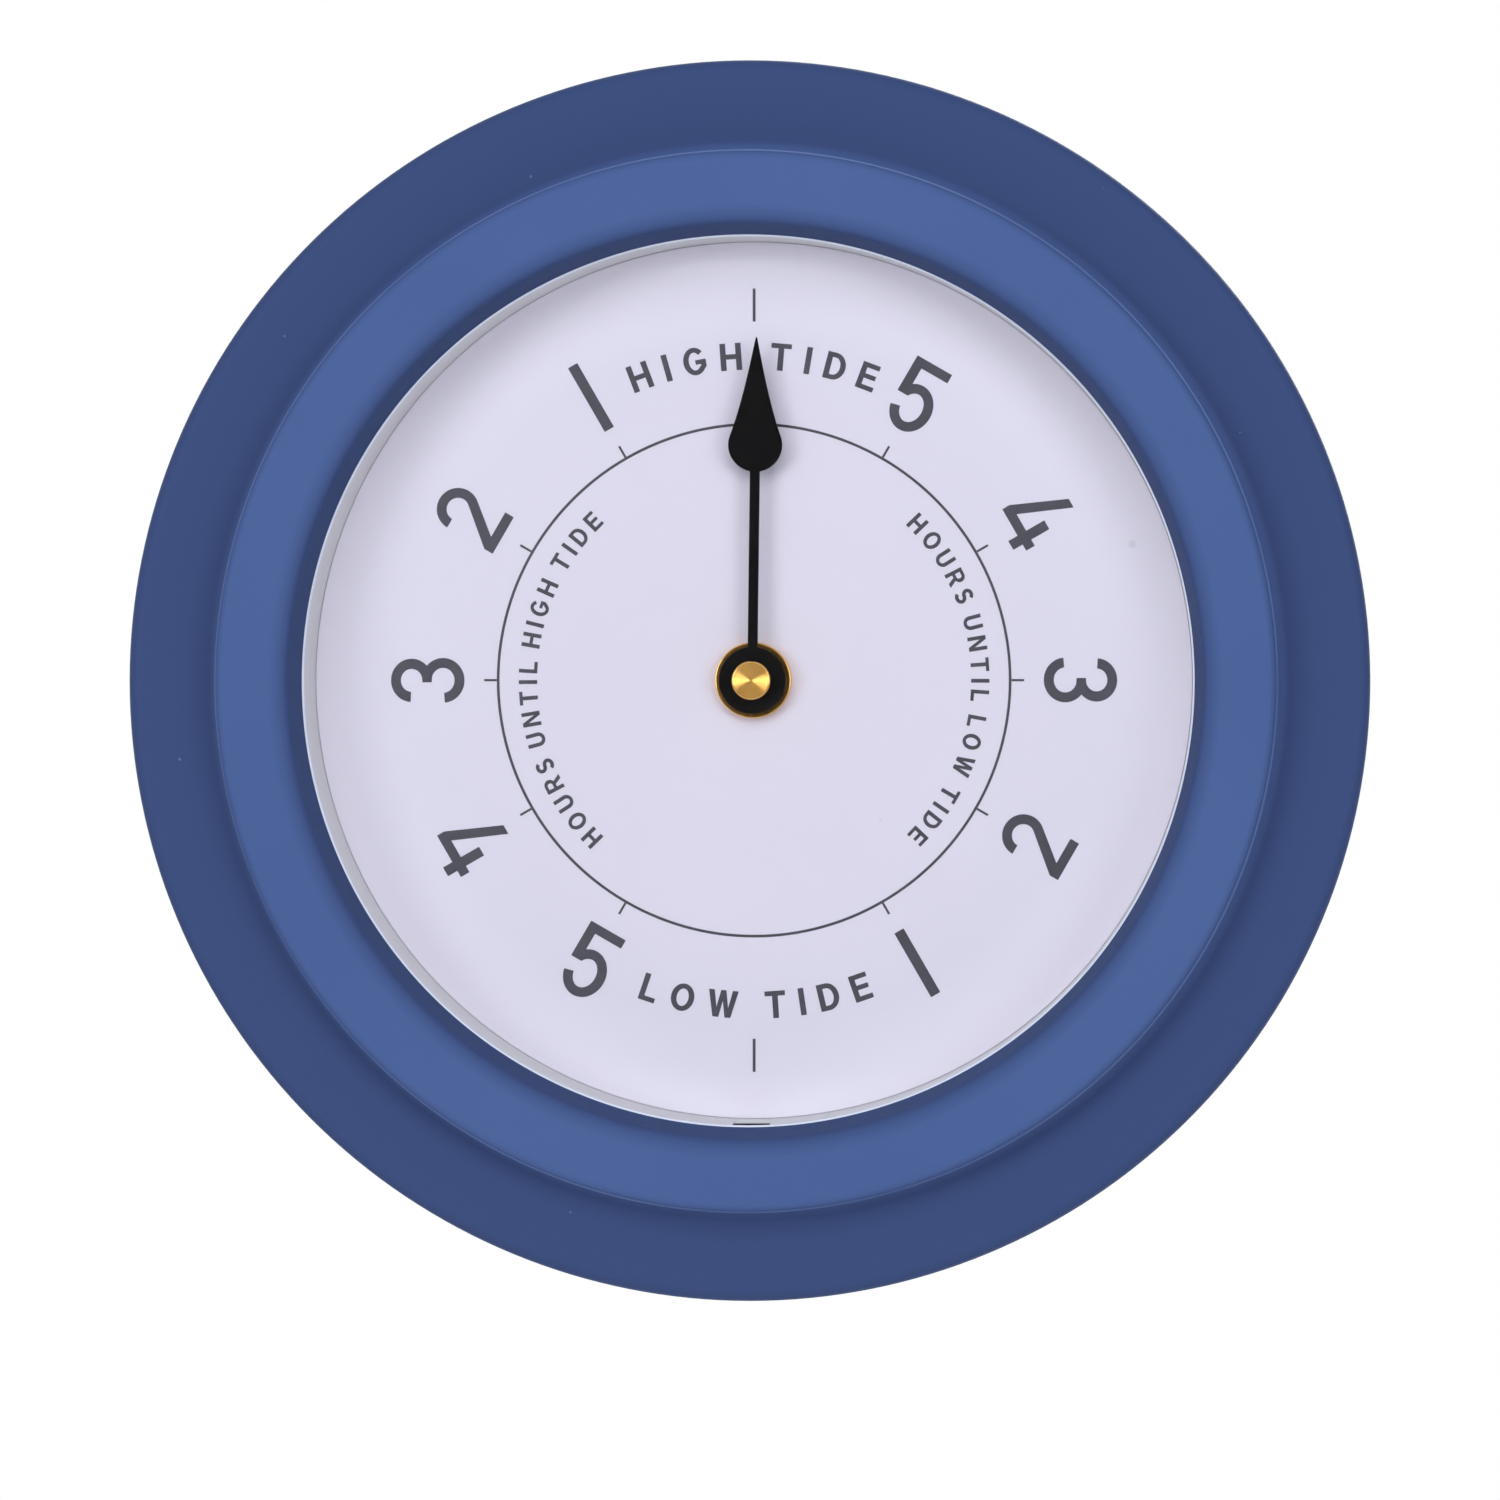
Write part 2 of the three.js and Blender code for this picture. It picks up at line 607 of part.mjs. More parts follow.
function backCover() {
  const shell = turned(
    [
      [0, coverRear],
      [landInner, coverRear],
      [landInner, 0],
      [coverRadius, 0],
      [coverRadius, coverFront + COVER_RIM],
      [coverRadius - COVER_RIM_WALL, coverFront + COVER_RIM],
      [coverRadius - COVER_RIM_WALL, coverFront],
      [0, coverFront],
    ],
    FINE,
  );
  const opening = LEDGE_WIDTH + PLAY;
  const collar = slab(
    lidOutline(opening + COLLAR_WALL, LID_CORNER + COLLAR_WALL),
    coverRear + COVER_PLATE / 2,
    collarFront,
    BEND_STEPS,
  );
  const pocket = slab(lidOutline(opening), -OVERCUT, ledgeRear, BEND_STEPS);
  const window = slab(lidOutline(0), -OVERCUT, collarFront + OVERCUT, BEND_STEPS);
  const hangTop = hangHeight + HANGER_MARGIN / 2;
  const hangBottom = entryHeight - KEY_ENTRY - HANGER_MARGIN / 2;
  const hangWindow = slab(
    roundedRectangle(HANG_WINDOW, hangTop - hangBottom, HANGER_CORNER, 0, (hangTop + hangBottom) / 2),
    -OVERCUT,
    coverFront + OVERCUT,
    BEND_STEPS,
  );
  const rivetHeight = (hangHeight + entryHeight - KEY_ENTRY) / 2;
  const rivetHoles = [-RIVET_SPREAD, RIVET_SPREAD].map((x) =>
    rod(RIVET_RADIUS + PLAY, -OVERCUT, coverFront + OVERCUT, x, rivetHeight),
  );
  const screwHoles = BOSS_SITES.map(([x, z]) =>
    rod(SCREW_RADIUS + PLAY, -OVERCUT, coverFront + OVERCUT, x, z),
  );
  const cover = cut(
    union(shell, collar),
    pocket,
    window,
    hangWindow,
    ...rivetHoles,
    ...screwHoles,
  );
  const screws = BOSS_SITES.map(([x, z], i) => {
    const seat = coverRear - SEAT;
    const screw = turned(
      [
        [0, seat - SCREW_HEAD_HEIGHT],
        [SCREW_HEAD_TOP, seat - SCREW_HEAD_HEIGHT],
        [SCREW_HEAD, seat],
        [SCREW_RADIUS, seat],
        [SCREW_RADIUS, seat + SCREW_LENGTH - SCREW_POINT],
        [0, seat + SCREW_LENGTH],
      ],
      TINY,
    );
    const piece = mesh(`cover_screw_${i + 1}`, screw, FINISH.steel);
    piece.position.set(x, 0, z);
    return piece;
  });
  return group("back", mesh("back_cover", cover, FINISH.black), ...screws);
}

function batteryLid() {
  const inner = ledgeWidth / 2 - PLAY;
  const tongues = [-1, 1].map((side) => {
    const [a, b] = [side * inner, side * (inner - TONGUE_THICK)];
    const half = TONGUE_WIDTH / 2;
    const [x0, x1] = [Math.min(a, b), Math.max(a, b)];
    return block(x0, x1, coverRear + LID_THICK / 2, collarFront, lidCentre - half, lidCentre + half);
  });
  const thumb = rod(
    THUMB_RADIUS,
    coverRear - OVERCUT,
    coverRear + THUMB_DEPTH,
    0,
    lidBottom + THUMB_RADIUS / 2,
    SMALL,
  );
  const plate = slab(lidOutline(LEDGE_WIDTH), coverRear, lidFront, BEND_STEPS);
  const lid = cut(union(plate, ...tongues), thumb);
  const sealRear = lidFront + SEAT;
  const seal = cut(
    slab(lidOutline(LEDGE_WIDTH), sealRear, sealRear + LID_SEAL, BEND_STEPS),
    slab(lidOutline(0), sealRear - OVERCUT, sealRear + LID_SEAL + OVERCUT, BEND_STEPS),
  );
  return group(
    "lid",
    mesh("battery_lid", lid, FINISH.black),
    mesh("lid_seal", seal, FINISH.rubber),
  );
}

function tipRadius(teeth, module) {
  return (module * teeth) / 2 + ADDENDUM * module;
}

// Outline of a toothed wheel; phase in radians turns a tooth to that angle.
function toothed(teeth, module, phase) {
  const pitch = (module * teeth) / 2;
  const [tip, root] = [tipRadius(teeth, module), pitch - DEDENDUM * module];
  const half = (TOOTH_SHARE * Math.PI) / teeth;
  const rootHalf = half * (teeth > KNOB_TEETH ? 1 + ROOT_FLARE : 1);
  const tipHalf = half * (1 - TIP_TAPER);
  const points = [];
  for (let i = 0; i < teeth; i++) {
    const centre = phase + (2 * Math.PI * i) / teeth;
    const corners = [
      [root, -rootHalf],
      [tip, -tipHalf],
      [tip, tipHalf],
      [root, rootHalf],
    ];
    for (const [r, a] of corners)
      points.push([r * Math.cos(centre + a), r * Math.sin(centre + a)]);
  }
  return polygon(points);
}

// Places of the arbors from the centre wheel out to the rotor, and the direction to the next one.
function trainPlan() {
  let site = [0, 0];
  const plan = STAGES.map((stage, i) => {
    const driver = STAGES[i + 1];
    const turn = rad(driver ? driver.turn : ROTOR_TURN);
    const reach = (stage.module * (stage.teeth + LEAVES)) / 2;
    const here = { ...stage, site, next: turn };
    site = [site[0] + reach * Math.cos(turn), site[1] + reach * Math.sin(turn)];
    return here;
  });
  return { plan, rotor: site };
}

const knobReach = (SETTING_MODULE * (SETTING_TEETH + KNOB_TEETH)) / 2;
const KNOB_SITE = [knobReach * Math.cos(rad(KNOB_TURN)), knobReach * Math.sin(rad(KNOB_TURN))];
const POSTS = [
  [-housingInner + 2 * POST_RADIUS, bayTop + 3 * POST_RADIUS],
  [-housingInner + 2 * POST_RADIUS, housingTop - MOVEMENT_WALL - 2 * POST_RADIUS],
  [housingInner - 2 * POST_RADIUS, housingTop - MOVEMENT_WALL - 2 * POST_RADIUS],
];

function movementHousing() {
  const wallRear = movementRear + MOVEMENT_FACE + SEAT;
  const bayWall = [bayTop, bayTop + MOVEMENT_WALL];
  const body = block(-housingHalf, housingHalf, wallRear, movementFront, housingBottom, housingTop);
  const room = block(
    -housingInner,
    housingInner,
    wallRear - OVERCUT,
    trainFront,
    bayWall[1],
    housingTop - MOVEMENT_WALL,
  );
  const bay = block(
    -housingInner,
    housingInner,
    wallRear - OVERCUT,
    trainFront,
    housingBottom + MOVEMENT_WALL,
    bayWall[0],
  );
  const posts = POSTS.map(([x, z]) => rod(POST_RADIUS, plateFront + SEAT, movementFront, x, z));
  const bush = rod(BUSH_RADIUS, trainFront, bushFront, 0, 0, SMALL);
  const bore = rod(arborHole, trainFront - OVERCUT, bushFront + OVERCUT, 0, 0, SMALL);
  const arbors = [...TRAIN.slice(1).map((wheel) => wheel.site), ROTOR_SITE];
  const pockets = arbors.map(([x, z]) =>
    rod(ARBOR_RADIUS + PIVOT_PLAY, trainFront - OVERCUT, trainFront + PIVOT_DEPTH + PIVOT_PLAY, x, z),
  );
  const front = cut(union(cut(body, room, bay), ...posts, bush), bore, ...pockets);
  const plateTop = housingTop - MOVEMENT_WALL - PLAY;
  const plateSide = housingInner - PLAY;
  const plateBottom = bayWall[1] + PLAY;
  const plateHoles = arbors.map(([x, z]) =>
    rod(ARBOR_RADIUS + PIVOT_PLAY, plateRear - OVERCUT, plateFront + OVERCUT, x, z),
  );
  const plate = cut(
    block(-plateSide, plateSide, plateRear, plateFront, plateBottom, plateTop),
    rod(arborHole, plateRear - OVERCUT, plateFront + OVERCUT, 0, 0, SMALL),
    ...plateHoles,
  );
  const coverHalf = housingHalf - SEAT;
  const [knobX, knobZ] = KNOB_SITE;
  const rear = movementRear + MOVEMENT_FACE;
  const cover = cut(
    block(-coverHalf, coverHalf, movementRear, rear, bayWall[0], housingTop),
    rod(ARBOR_RADIUS + PIVOT_PLAY, movementRear - OVERCUT, rear + OVERCUT),
    rod(KNOB_SHAFT + PIVOT_PLAY, movementRear - OVERCUT, rear + OVERCUT, knobX, knobZ, SMALL),
  );
  const washerRear = movementFront + SEAT;
  const washer = ring(bushHole, NUT_RADIUS, washerRear, washerRear + WASHER_THICK, SMALL);
  const nut = turned(
    [
      [bushHole, nutRear],
      [NUT_RADIUS, nutRear],
      [NUT_RADIUS, nutRear + NUT_HEIGHT - NUT_CHAMFER],
      [NUT_RADIUS - NUT_CHAMFER, nutRear + NUT_HEIGHT],
      [bushHole, nutRear + NUT_HEIGHT],
      [bushHole, nutRear],
    ],
    TURNED,
  );
  return group(
    "movement",
    mesh("movement_case", front, FINISH.black),
    mesh("movement_cover", cover, FINISH.black),
    mesh("train_plate", plate, FINISH.black),
    mesh("bush_washer", washer, FINISH.rubber),
    mesh("dial_nut", nut, FINISH.brass),
  );
}

function trainWheels() {
  const wheels = TRAIN.map((wheel, i) => {
    const [x, z] = wheel.site;
    const rear = plateFront + wheel.layer;
    const gap = wheel.next + Math.PI / wheel.teeth;
    const parts = [slab(toothed(wheel.teeth, wheel.module, gap), rear, rear + WHEEL_THICK)];
    if (i > 0) {
      const driven = TRAIN[i - 1];
      const leaves = toothed(LEAVES, driven.module, driven.next + Math.PI);
      const [from, to] = wheel.pinion;
      parts.push(slab(leaves, plateFront + from, plateFront + to));
      parts.push(rod(ARBOR_RADIUS, plateRear + PIVOT_PLAY, trainFront + PIVOT_DEPTH));
    } else {
      parts.push(rod(tubeRadius, plateFront + PLAY, rear + WHEEL_THICK, 0, 0, SMALL));
    }
    let body = union(...parts);
    if (i === 0) body = cut(body, rod(arborHole, plateRear, trainFront, 0, 0, SMALL));
    const piece = mesh(wheel.name, body, FINISH.gear);
    piece.position.set(x, 0, z);
    return piece;
  });
  const last = TRAIN[TRAIN.length - 1];
  const rotorBody = union(
    rod(MAGNET_RADIUS, plateFront + MAGNET_LAYER[0], plateFront + MAGNET_LAYER[1], 0, 0, SMALL),
    slab(
      toothed(LEAVES, last.module, last.next + Math.PI),
      plateFront + ROTOR_PINION[0],
      plateFront + ROTOR_PINION[1],
    ),
    rod(ARBOR_RADIUS, plateRear + PIVOT_PLAY, trainFront + PIVOT_DEPTH),
  );
  const rotor = mesh("rotor", rotorBody, FINISH.magnet);
  rotor.position.set(ROTOR_SITE[0], 0, ROTOR_SITE[1]);
  return group("train", ...wheels, rotor);
}

function motor() {
  const [rx, rz] = ROTOR_SITE;
  const hole = MAGNET_RADIUS + STATOR_GAP;
  const frame = hole + STATOR_RIM;
  const armTop = rz - frame - PLAY;
  const armBottom = armTop - STATOR_LEG;
  const outline = polygon([
    [STATOR_LEFT, legFoot],
    [STATOR_LEFT + STATOR_LEG, legFoot],
    [STATOR_LEFT + STATOR_LEG, armBottom],
    [rx - hole / 2, armBottom],
    [rx - hole / 2, rz - frame],
    [statorRight - STATOR_LEG, rz - frame],
    [statorRight - STATOR_LEG, legFoot],
    [statorRight, legFoot],
    [statorRight, rz + frame],
    [rx - frame, rz + frame],
    [rx - frame, armTop],
    [STATOR_LEFT, armTop],
  ]);
  const statorRear = plateFront + STATOR_LAYER;
  const statorFront = statorRear + STATOR_THICK;
  const stator = cut(
    slab(outline, statorRear, statorFront),
    rod(hole, statorRear - OVERCUT, statorFront + OVERCUT, rx, rz, TURNED),
  );
  const coreRear = statorFront + SEAT;
  const coreFront = coreRear + CORE_THICK;
  const [z0, z1] = [-COIL_DROP - CORE_WIDTH / 2, -COIL_DROP + CORE_WIDTH / 2];
  const core = block(STATOR_LEFT, statorRight, coreRear, coreFront, z0, z1);
  const left = STATOR_LEFT + STATOR_LEG + PLAY;
  const right = statorRight - STATOR_LEG - PLAY;
  const coilDepth = (coreRear + coreFront) / 2;
  const along = (radius, x0, x1, segments) => {
    const geometry = new THREE.CylinderGeometry(radius, radius, x1 - x0, segments);
    geometry.rotateZ(Math.PI / 2);
    return solid(geometry.translate((x0 + x1) / 2, -coilDepth, -COIL_DROP));
  };
  const [b0, b1] = [left - OVERCUT, right + OVERCUT];
  const bore = block(b0, b1, coreRear - PLAY, coreFront + PLAY, z0 - PLAY, z1 + PLAY);
  const boreRadius = Math.hypot(CORE_WIDTH / 2 + PLAY, CORE_THICK / 2 + PLAY) + SEAT;
  const barrel = boreRadius + BOBBIN_WALL;
  const bobbin = cut(
    union(
      along(barrel, left, right, SMALL),
      along(COIL_RADIUS, left, left + BOBBIN_FLANGE, SMALL),
      along(COIL_RADIUS, right - BOBBIN_FLANGE, right, SMALL),
    ),
    bore,
  );
  const [w0, w1] = [left + BOBBIN_FLANGE + SEAT, right - BOBBIN_FLANGE - SEAT];
  const winding = cut(
    along(COIL_RADIUS - SEAT, w0, w1, SMALL),
    along(barrel + SEAT, w0 - OVERCUT, w1 + OVERCUT, SMALL),
  );
  return group(
    "motor",
    mesh("stator", stator, FINISH.steel),
    mesh("coil_core", core, FINISH.steel),
    mesh("coil_bobbin", bobbin, FINISH.gear),
    mesh("coil_winding", winding, FINISH.copper),
  );
}

function electronics() {
  const boardFront = plateRear - SEAT;
  const boardRear = boardFront - BOARD.thick;
  const [hw, hh] = [BOARD.width / 2, BOARD.height / 2];
  const x = housingInner - BOARD.side - hw;
  const z = housingTop - MOVEMENT_WALL - BOARD.top - hh;
  const board = block(
    x - hw,
    x + hw,
    boardRear,
    boardFront,
    z - hh,
    z + hh,
  );
  const chipFront = boardRear - SEAT;
  const chip = rod(
    CHIP_RADIUS,
    chipFront - CHIP_HEIGHT,
    chipFront,
    x - hw / 2,
    z,
    SMALL,
  );
  const can = new THREE.CylinderGeometry(CRYSTAL_RADIUS, CRYSTAL_RADIUS, CRYSTAL_LENGTH, TINY);
  can.rotateX(Math.PI / 2);
  can.translate(x + hw / 2, -(chipFront - CRYSTAL_RADIUS), z);
  return group(
    "electronics",
    mesh("circuit_board", board, FINISH.board),
    mesh("chip", chip, FINISH.black),
    mesh("quartz_crystal", solid(can), FINISH.steel),
  );
}

function power() {
  const cellDepth = trainFront - PLAY - CELL_RADIUS;
  const end = CELL_LENGTH / 2;
  const profile = [
    [0, -end],
    [CELL_RADIUS, -end],
    [CELL_RADIUS, end - CELL_NUB],
    [CELL_NUB_RADIUS, end - CELL_NUB],
    [CELL_NUB_RADIUS, end],
    [0, end],
  ];
  const points = profile.map(([r, y]) => new THREE.Vector2(r, y));
  const cell = new THREE.LatheGeometry(points, SMALL);
  cell.rotateZ(-Math.PI / 2);
  cell.translate(0, -cellDepth, bayCentre);
  const half = CONTACT_WIDTH / 2;
  const contact = (x0, x1) =>
    block(x0, x1, cellDepth - half, cellDepth + half, bayCentre - half, bayCentre + half);
  const plusFace = end + SEAT;
  const plus = contact(plusFace, plusFace + CONTACT_THICK);
  const minusFace = -end - SEAT;
  const leaf = contact(minusFace - CONTACT_THICK, minusFace);
  const foot = block(
    -housingInner + SEAT,
    minusFace - CONTACT_THICK / 2,
    cellDepth - half,
    cellDepth - half + CONTACT_THICK,
    bayCentre - half,
    bayCentre + half,
  );
  return group(
    "power",
    mesh("battery", solid(cell), FINISH.cell),
    mesh("contact_plus", plus, FINISH.steel),
    mesh("contact_minus", union(leaf, foot), FINISH.steel),
  );
}

// Flat hand outline pointing up: boss, thin stem, round bulb drawn out to a point.
function handOutline() {
  const shape = new THREE.Shape();
  const stem = HAND_STEM / 2;
  const foot = Math.asin(stem / HAND_BOSS);
  const neck = Math.asin(stem / BULB_RADIUS);
  const shoulder = Math.asin(BULB_RADIUS / (HAND_LENGTH - BULB_CENTRE));
  shape.absarc(0, 0, HAND_BOSS, Math.PI / 2 + foot, 2.5 * Math.PI - foot);
  shape.absarc(0, BULB_CENTRE, BULB_RADIUS, -Math.PI / 2 + neck, shoulder);
  shape.lineTo(0, HAND_LENGTH);
  shape.absarc(0, BULB_CENTRE, BULB_RADIUS, Math.PI - shoulder, 1.5 * Math.PI - neck);
  return shape;
}

function handSet() {
  const hole = HUB_RADIUS + SEAT;
  const hand = cut(
    slab(handOutline(), handRear, handFront, TINY),
    rod(hole, handRear - OVERCUT, handFront + OVERCUT, 0, 0, SMALL),
  ).rotate([0, HAND_REST, 0]);
  const hub = ring(arborHole, HUB_RADIUS, handRear - HAND_LIFT / 2, handFront + SEAT, SMALL);
  const capFront = capRear + CAP_HEIGHT;
  const threadEnd = capFront - CAP_CROWN - PLAY;
  const cap = turned(
    [
      [arborHole, capRear],
      [CAP_RADIUS, capRear],
      [CAP_RADIUS, capFront - CAP_CHAMFER],
      [CAP_RADIUS - CAP_CHAMFER, capFront],
      [0, capFront],
      [0, threadEnd + PLAY / 2],
      [arborHole, threadEnd + PLAY / 2],
      [arborHole, capRear],
    ],
    TURNED,
  );
  const knobDirection = rad(KNOB_TURN);
  const shaft = turned(
    [
      [0, movementRear + PLAY],
      [ARBOR_RADIUS, movementRear + PLAY],
      [ARBOR_RADIUS, settingRear],
      [ARBOR_MAIN, settingRear],
      [ARBOR_MAIN, threadEnd],
      [0, threadEnd],
    ],
    SMALL,
  );
  const gap = knobDirection + Math.PI / SETTING_TEETH;
  const settingWheel = slab(
    toothed(SETTING_TEETH, SETTING_MODULE, gap),
    settingRear,
    settingRear + WHEEL_THICK,
  );
  const clutchRear = plateFront + STAGES[0].layer + WHEEL_THICK + PIVOT_PLAY;
  const clutch = ring(arborHole, tubeRadius + CLUTCH_RIM, clutchRear, trainFront - PIVOT_PLAY, SMALL);
  return group(
    "hand_set",
    mesh("tide_hand", hand, FINISH.hand),
    mesh("hand_hub", hub, FINISH.brass),
    mesh("cap_nut", cap, FINISH.brass),
    mesh("hand_arbor", union(shaft, settingWheel), FINISH.brass),
    mesh("clutch_washer", clutch, FINISH.brass),
  );
}

function settingKnob() {
  const crests = around(KNOB_GRIPS, KNOB_RADIUS, 0);
  const grooves = around(KNOB_GRIPS, KNOB_RADIUS - KNOB_GROOVE, 180 / KNOB_GRIPS);
  const knurl = polygon(crests.flatMap((crest, i) => [crest, grooves[i]]));
  const head = slab(knurl, knobRear, movementRear - PLAY);
  const leaves = toothed(KNOB_TEETH, SETTING_MODULE, rad(KNOB_TURN) + Math.PI);
  const pinion = slab(leaves, movementRear + MOVEMENT_FACE + PLAY, settingRear + WHEEL_THICK);
  const shaft = rod(KNOB_SHAFT, knobRear + PLAY, settingRear + WHEEL_THICK, 0, 0, SMALL);
  const knob = mesh("setting_knob", union(head, pinion, shaft), FINISH.gear);
  knob.position.set(KNOB_SITE[0], 0, KNOB_SITE[1]);
  return knob;
}

const clock = group(
  "wall_clock",
  caseFront(),
  lensSet(),
  dialPan(),
  backCover(),
  hanger(),
  batteryLid(),
  movementHousing(),
  trainWheels(),
  motor(),
  electronics(),
  power(),
  handSet(),
  settingKnob(),
);
clock.position.z = -hangHeight;

export default group("outdoor_tide_clock", clock);
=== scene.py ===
"""Looks of an outdoor tide clock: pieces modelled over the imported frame, their finishes, light and camera.

Sizes are in millimetres, and angles in degrees. Depths count from the wall towards the viewer, heights from
the hand axis. Only the studio's floor, card and lamps are placed and sized in metres.
"""

import logging
import math
from collections.abc import Sequence
from dataclasses import dataclass, field
from enum import Enum

import bpy
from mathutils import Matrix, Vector


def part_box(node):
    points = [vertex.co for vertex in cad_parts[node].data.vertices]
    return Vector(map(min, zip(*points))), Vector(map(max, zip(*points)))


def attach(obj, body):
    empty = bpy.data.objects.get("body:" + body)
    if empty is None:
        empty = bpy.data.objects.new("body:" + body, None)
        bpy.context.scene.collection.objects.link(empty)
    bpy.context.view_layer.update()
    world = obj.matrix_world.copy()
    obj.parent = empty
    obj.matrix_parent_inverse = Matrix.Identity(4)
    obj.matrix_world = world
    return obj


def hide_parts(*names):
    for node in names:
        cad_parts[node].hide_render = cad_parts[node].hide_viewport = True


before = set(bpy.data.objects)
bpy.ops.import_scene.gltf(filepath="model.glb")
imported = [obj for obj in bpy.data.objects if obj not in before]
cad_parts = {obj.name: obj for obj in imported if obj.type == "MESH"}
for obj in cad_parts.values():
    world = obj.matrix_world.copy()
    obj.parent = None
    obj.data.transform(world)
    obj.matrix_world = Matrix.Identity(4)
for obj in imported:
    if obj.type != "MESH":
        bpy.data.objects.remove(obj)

log = logging.getLogger("clock")

MM = 0.001
WELD = 1e-6  # points closer than this are one, m
AXIS_DROP = 100.0  # hand axis below the nail, mm
PAST = 1.0  # how far a cutter reaches past a face, mm
LONG_RUN = 8  # a run this many times as long as the holding points' reach gets such points
BROAD = 0.3  # reach of the holding points on broad pieces, mm
HOURS = tuple(angle for angle in range(30, 360, 30) if angle != 180)  # clock angles of the numerals

Pair = tuple[float, float]
Rgb = tuple[int, int, int]
Inputs = dict[str | int, object]
Socket = bpy.types.NodeSocket


def spot(x: float, depth: float, height: float) -> Vector:
    """Point in the row frame from millimetres beside, in front of the wall and above the hand axis."""
    return Vector((x, -depth, height - AXIS_DROP)) * MM


def polar(radius: float, angle: float) -> Pair:
    """(x, height) at a radius and a clock angle in degrees from 12 o'clock."""
    return radius * math.sin(math.radians(angle)), radius * math.cos(math.radians(angle))


def depths(node: str) -> Pair:
    """Rear and front depth of a CAD node in mm."""
    low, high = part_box(node)
    return -high.y / MM, -low.y / MM


def middle(node: str) -> Pair:
    """(x, height) of the middle of a CAD node in mm."""
    low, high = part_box(node)
    return (low.x + high.x) / 2 / MM, (low.z + high.z) / 2 / MM + AXIS_DROP


def radius_of(node: str) -> float:
    """Radius in mm of a round CAD node on the hand axis."""
    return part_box(node)[1].x / MM


def linear(colour: Rgb) -> tuple[float, float, float, float]:
    """Scene-linear colour of an sRGB one."""
    parts = [c / 255 for c in colour]
    return (*(p / 12.92 if p <= 0.04045 else ((p + 0.055) / 1.055) ** 2.4 for p in parts), 1.0)


def arc(centre: Pair, radius: float, start: float, stop: float, steps: int) -> list[Pair]:
    """Points of an arc.

    Args:
        centre: Centre of the arc.
        radius: Its radius.
        start: First angle in degrees, from the first axis towards the second.
        stop: Last angle in degrees.
        steps: Number of steps between them.

    Returns:
        The points, ends included.
    """
    turns = [math.radians(start + (stop - start) * i / steps) for i in range(steps + 1)]
    return [(centre[0] + radius * math.cos(t), centre[1] + radius * math.sin(t)) for t in turns]


def swung(points: Sequence[Pair], angle: float) -> list[Pair]:
    """Points turned clockwise about the origin by an angle in degrees."""
    c, s = math.cos(math.radians(angle)), math.sin(math.radians(angle))
    return [(x * c + h * s, h * c - x * s) for x, h in points]


def held(profile: Sequence[Pair], reach: float = 0.15) -> list[Pair]:
    """Profile with a holding point near both ends of every long run, so that shading stays flat there.

    Args:
        profile: Points of the profile in mm.
        reach: Distance of the holding points from the ends.

    Returns:
        The longer list of points.
    """
    points = [profile[0]]
    for a, b in zip(profile, profile[1:]):
        run = math.dist(a, b)
        if run > LONG_RUN * reach:
            for share in (reach / run, 1 - reach / run):
                points.append((a[0] + (b[0] - a[0]) * share, a[1] + (b[1] - a[1]) * share))
        points.append(b)
    return points


def rounded(width: float, height: float, corner: float, at: Pair, steps: int = 8) -> list[Pair]:
    """Outline of a rectangle with round corners.

    Args:
        width: Full width in mm.
        height: Full height in mm.
        corner: Corner radius in mm.
        at: (x, height) of its middle.
        steps: Steps round each corner.

    Returns:
        The points, anticlockwise.
    """
    points: list[Pair] = []
    for i, (sx, sy) in enumerate(((1, 1), (-1, 1), (-1, -1), (1, -1))):
        centre = (at[0] + sx * (width / 2 - corner), at[1] + sy * (height / 2 - corner))
        points += arc(centre, corner, 90 * i, 90 * i + 90, steps)
    return points


def pick(*objects: bpy.types.Object) -> None:
    """Leaves edit mode and selects only these objects, the first one active, or nothing at all.

    Args:
        objects: Objects to select.
    """
    if bpy.context.mode != "OBJECT":
        bpy.ops.object.mode_set(mode="OBJECT")
    bpy.ops.object.select_all(action="DESELECT")
    for obj in objects:
        obj.select_set(True)
    if objects:
        bpy.context.view_layer.objects.active = objects[0]


def named(name: str) -> bpy.types.Object:
    """Names the active object and its data, and returns it.

    Args:
        name: The new name.

    Returns:
        The active object.
    """
    obj = bpy.context.object
    obj.name = obj.data.name = name
    return obj


def applied(obj: bpy.types.Object, kind: str, **settings: object) -> bpy.types.Object:
    """Adds one modifier, sets it and applies it.

    Args:
        obj: Object to change.
        kind: Type of the modifier.
        settings: Its properties.

    Returns:
        The same object.
    """
    pick(obj)
    bpy.ops.object.modifier_add(type=kind)
    modifier = obj.modifiers[-1]
    for key, value in settings.items():
        setattr(modifier, key, value)
    bpy.ops.object.modifier_apply(modifier=modifier.name)
    return obj


def bevelled(obj: bpy.types.Object, width: float, segments: int = 2, angle: float = 40) -> bpy.types.Object:
    """Rounds the edges that are sharper than an angle.

    Args:
        obj: Object to change.
        width: Width of the bevel in mm.
        segments: Steps across it.
        angle: Angle in degrees from which faces meet in an edge.

    Returns:
        The same object.
    """
    limit = math.radians(angle)
    return applied(
        obj, "BEVEL", width=width * MM, segments=segments, limit_method="ANGLE", angle_limit=limit
    )


def merged(obj: bpy.types.Object, other: bpy.types.Object, operation: str) -> bpy.types.Object:
    """Unites another solid with an object or cuts it out, and removes that solid.

    Args:
        obj: Object to change.
        other: Solid that is used up.
        operation: UNION or DIFFERENCE.

    Returns:
        The changed object.
    """
    applied(obj, "BOOLEAN", operation=operation, object=other, solver="EXACT")
    bpy.data.objects.remove(other)
    return obj


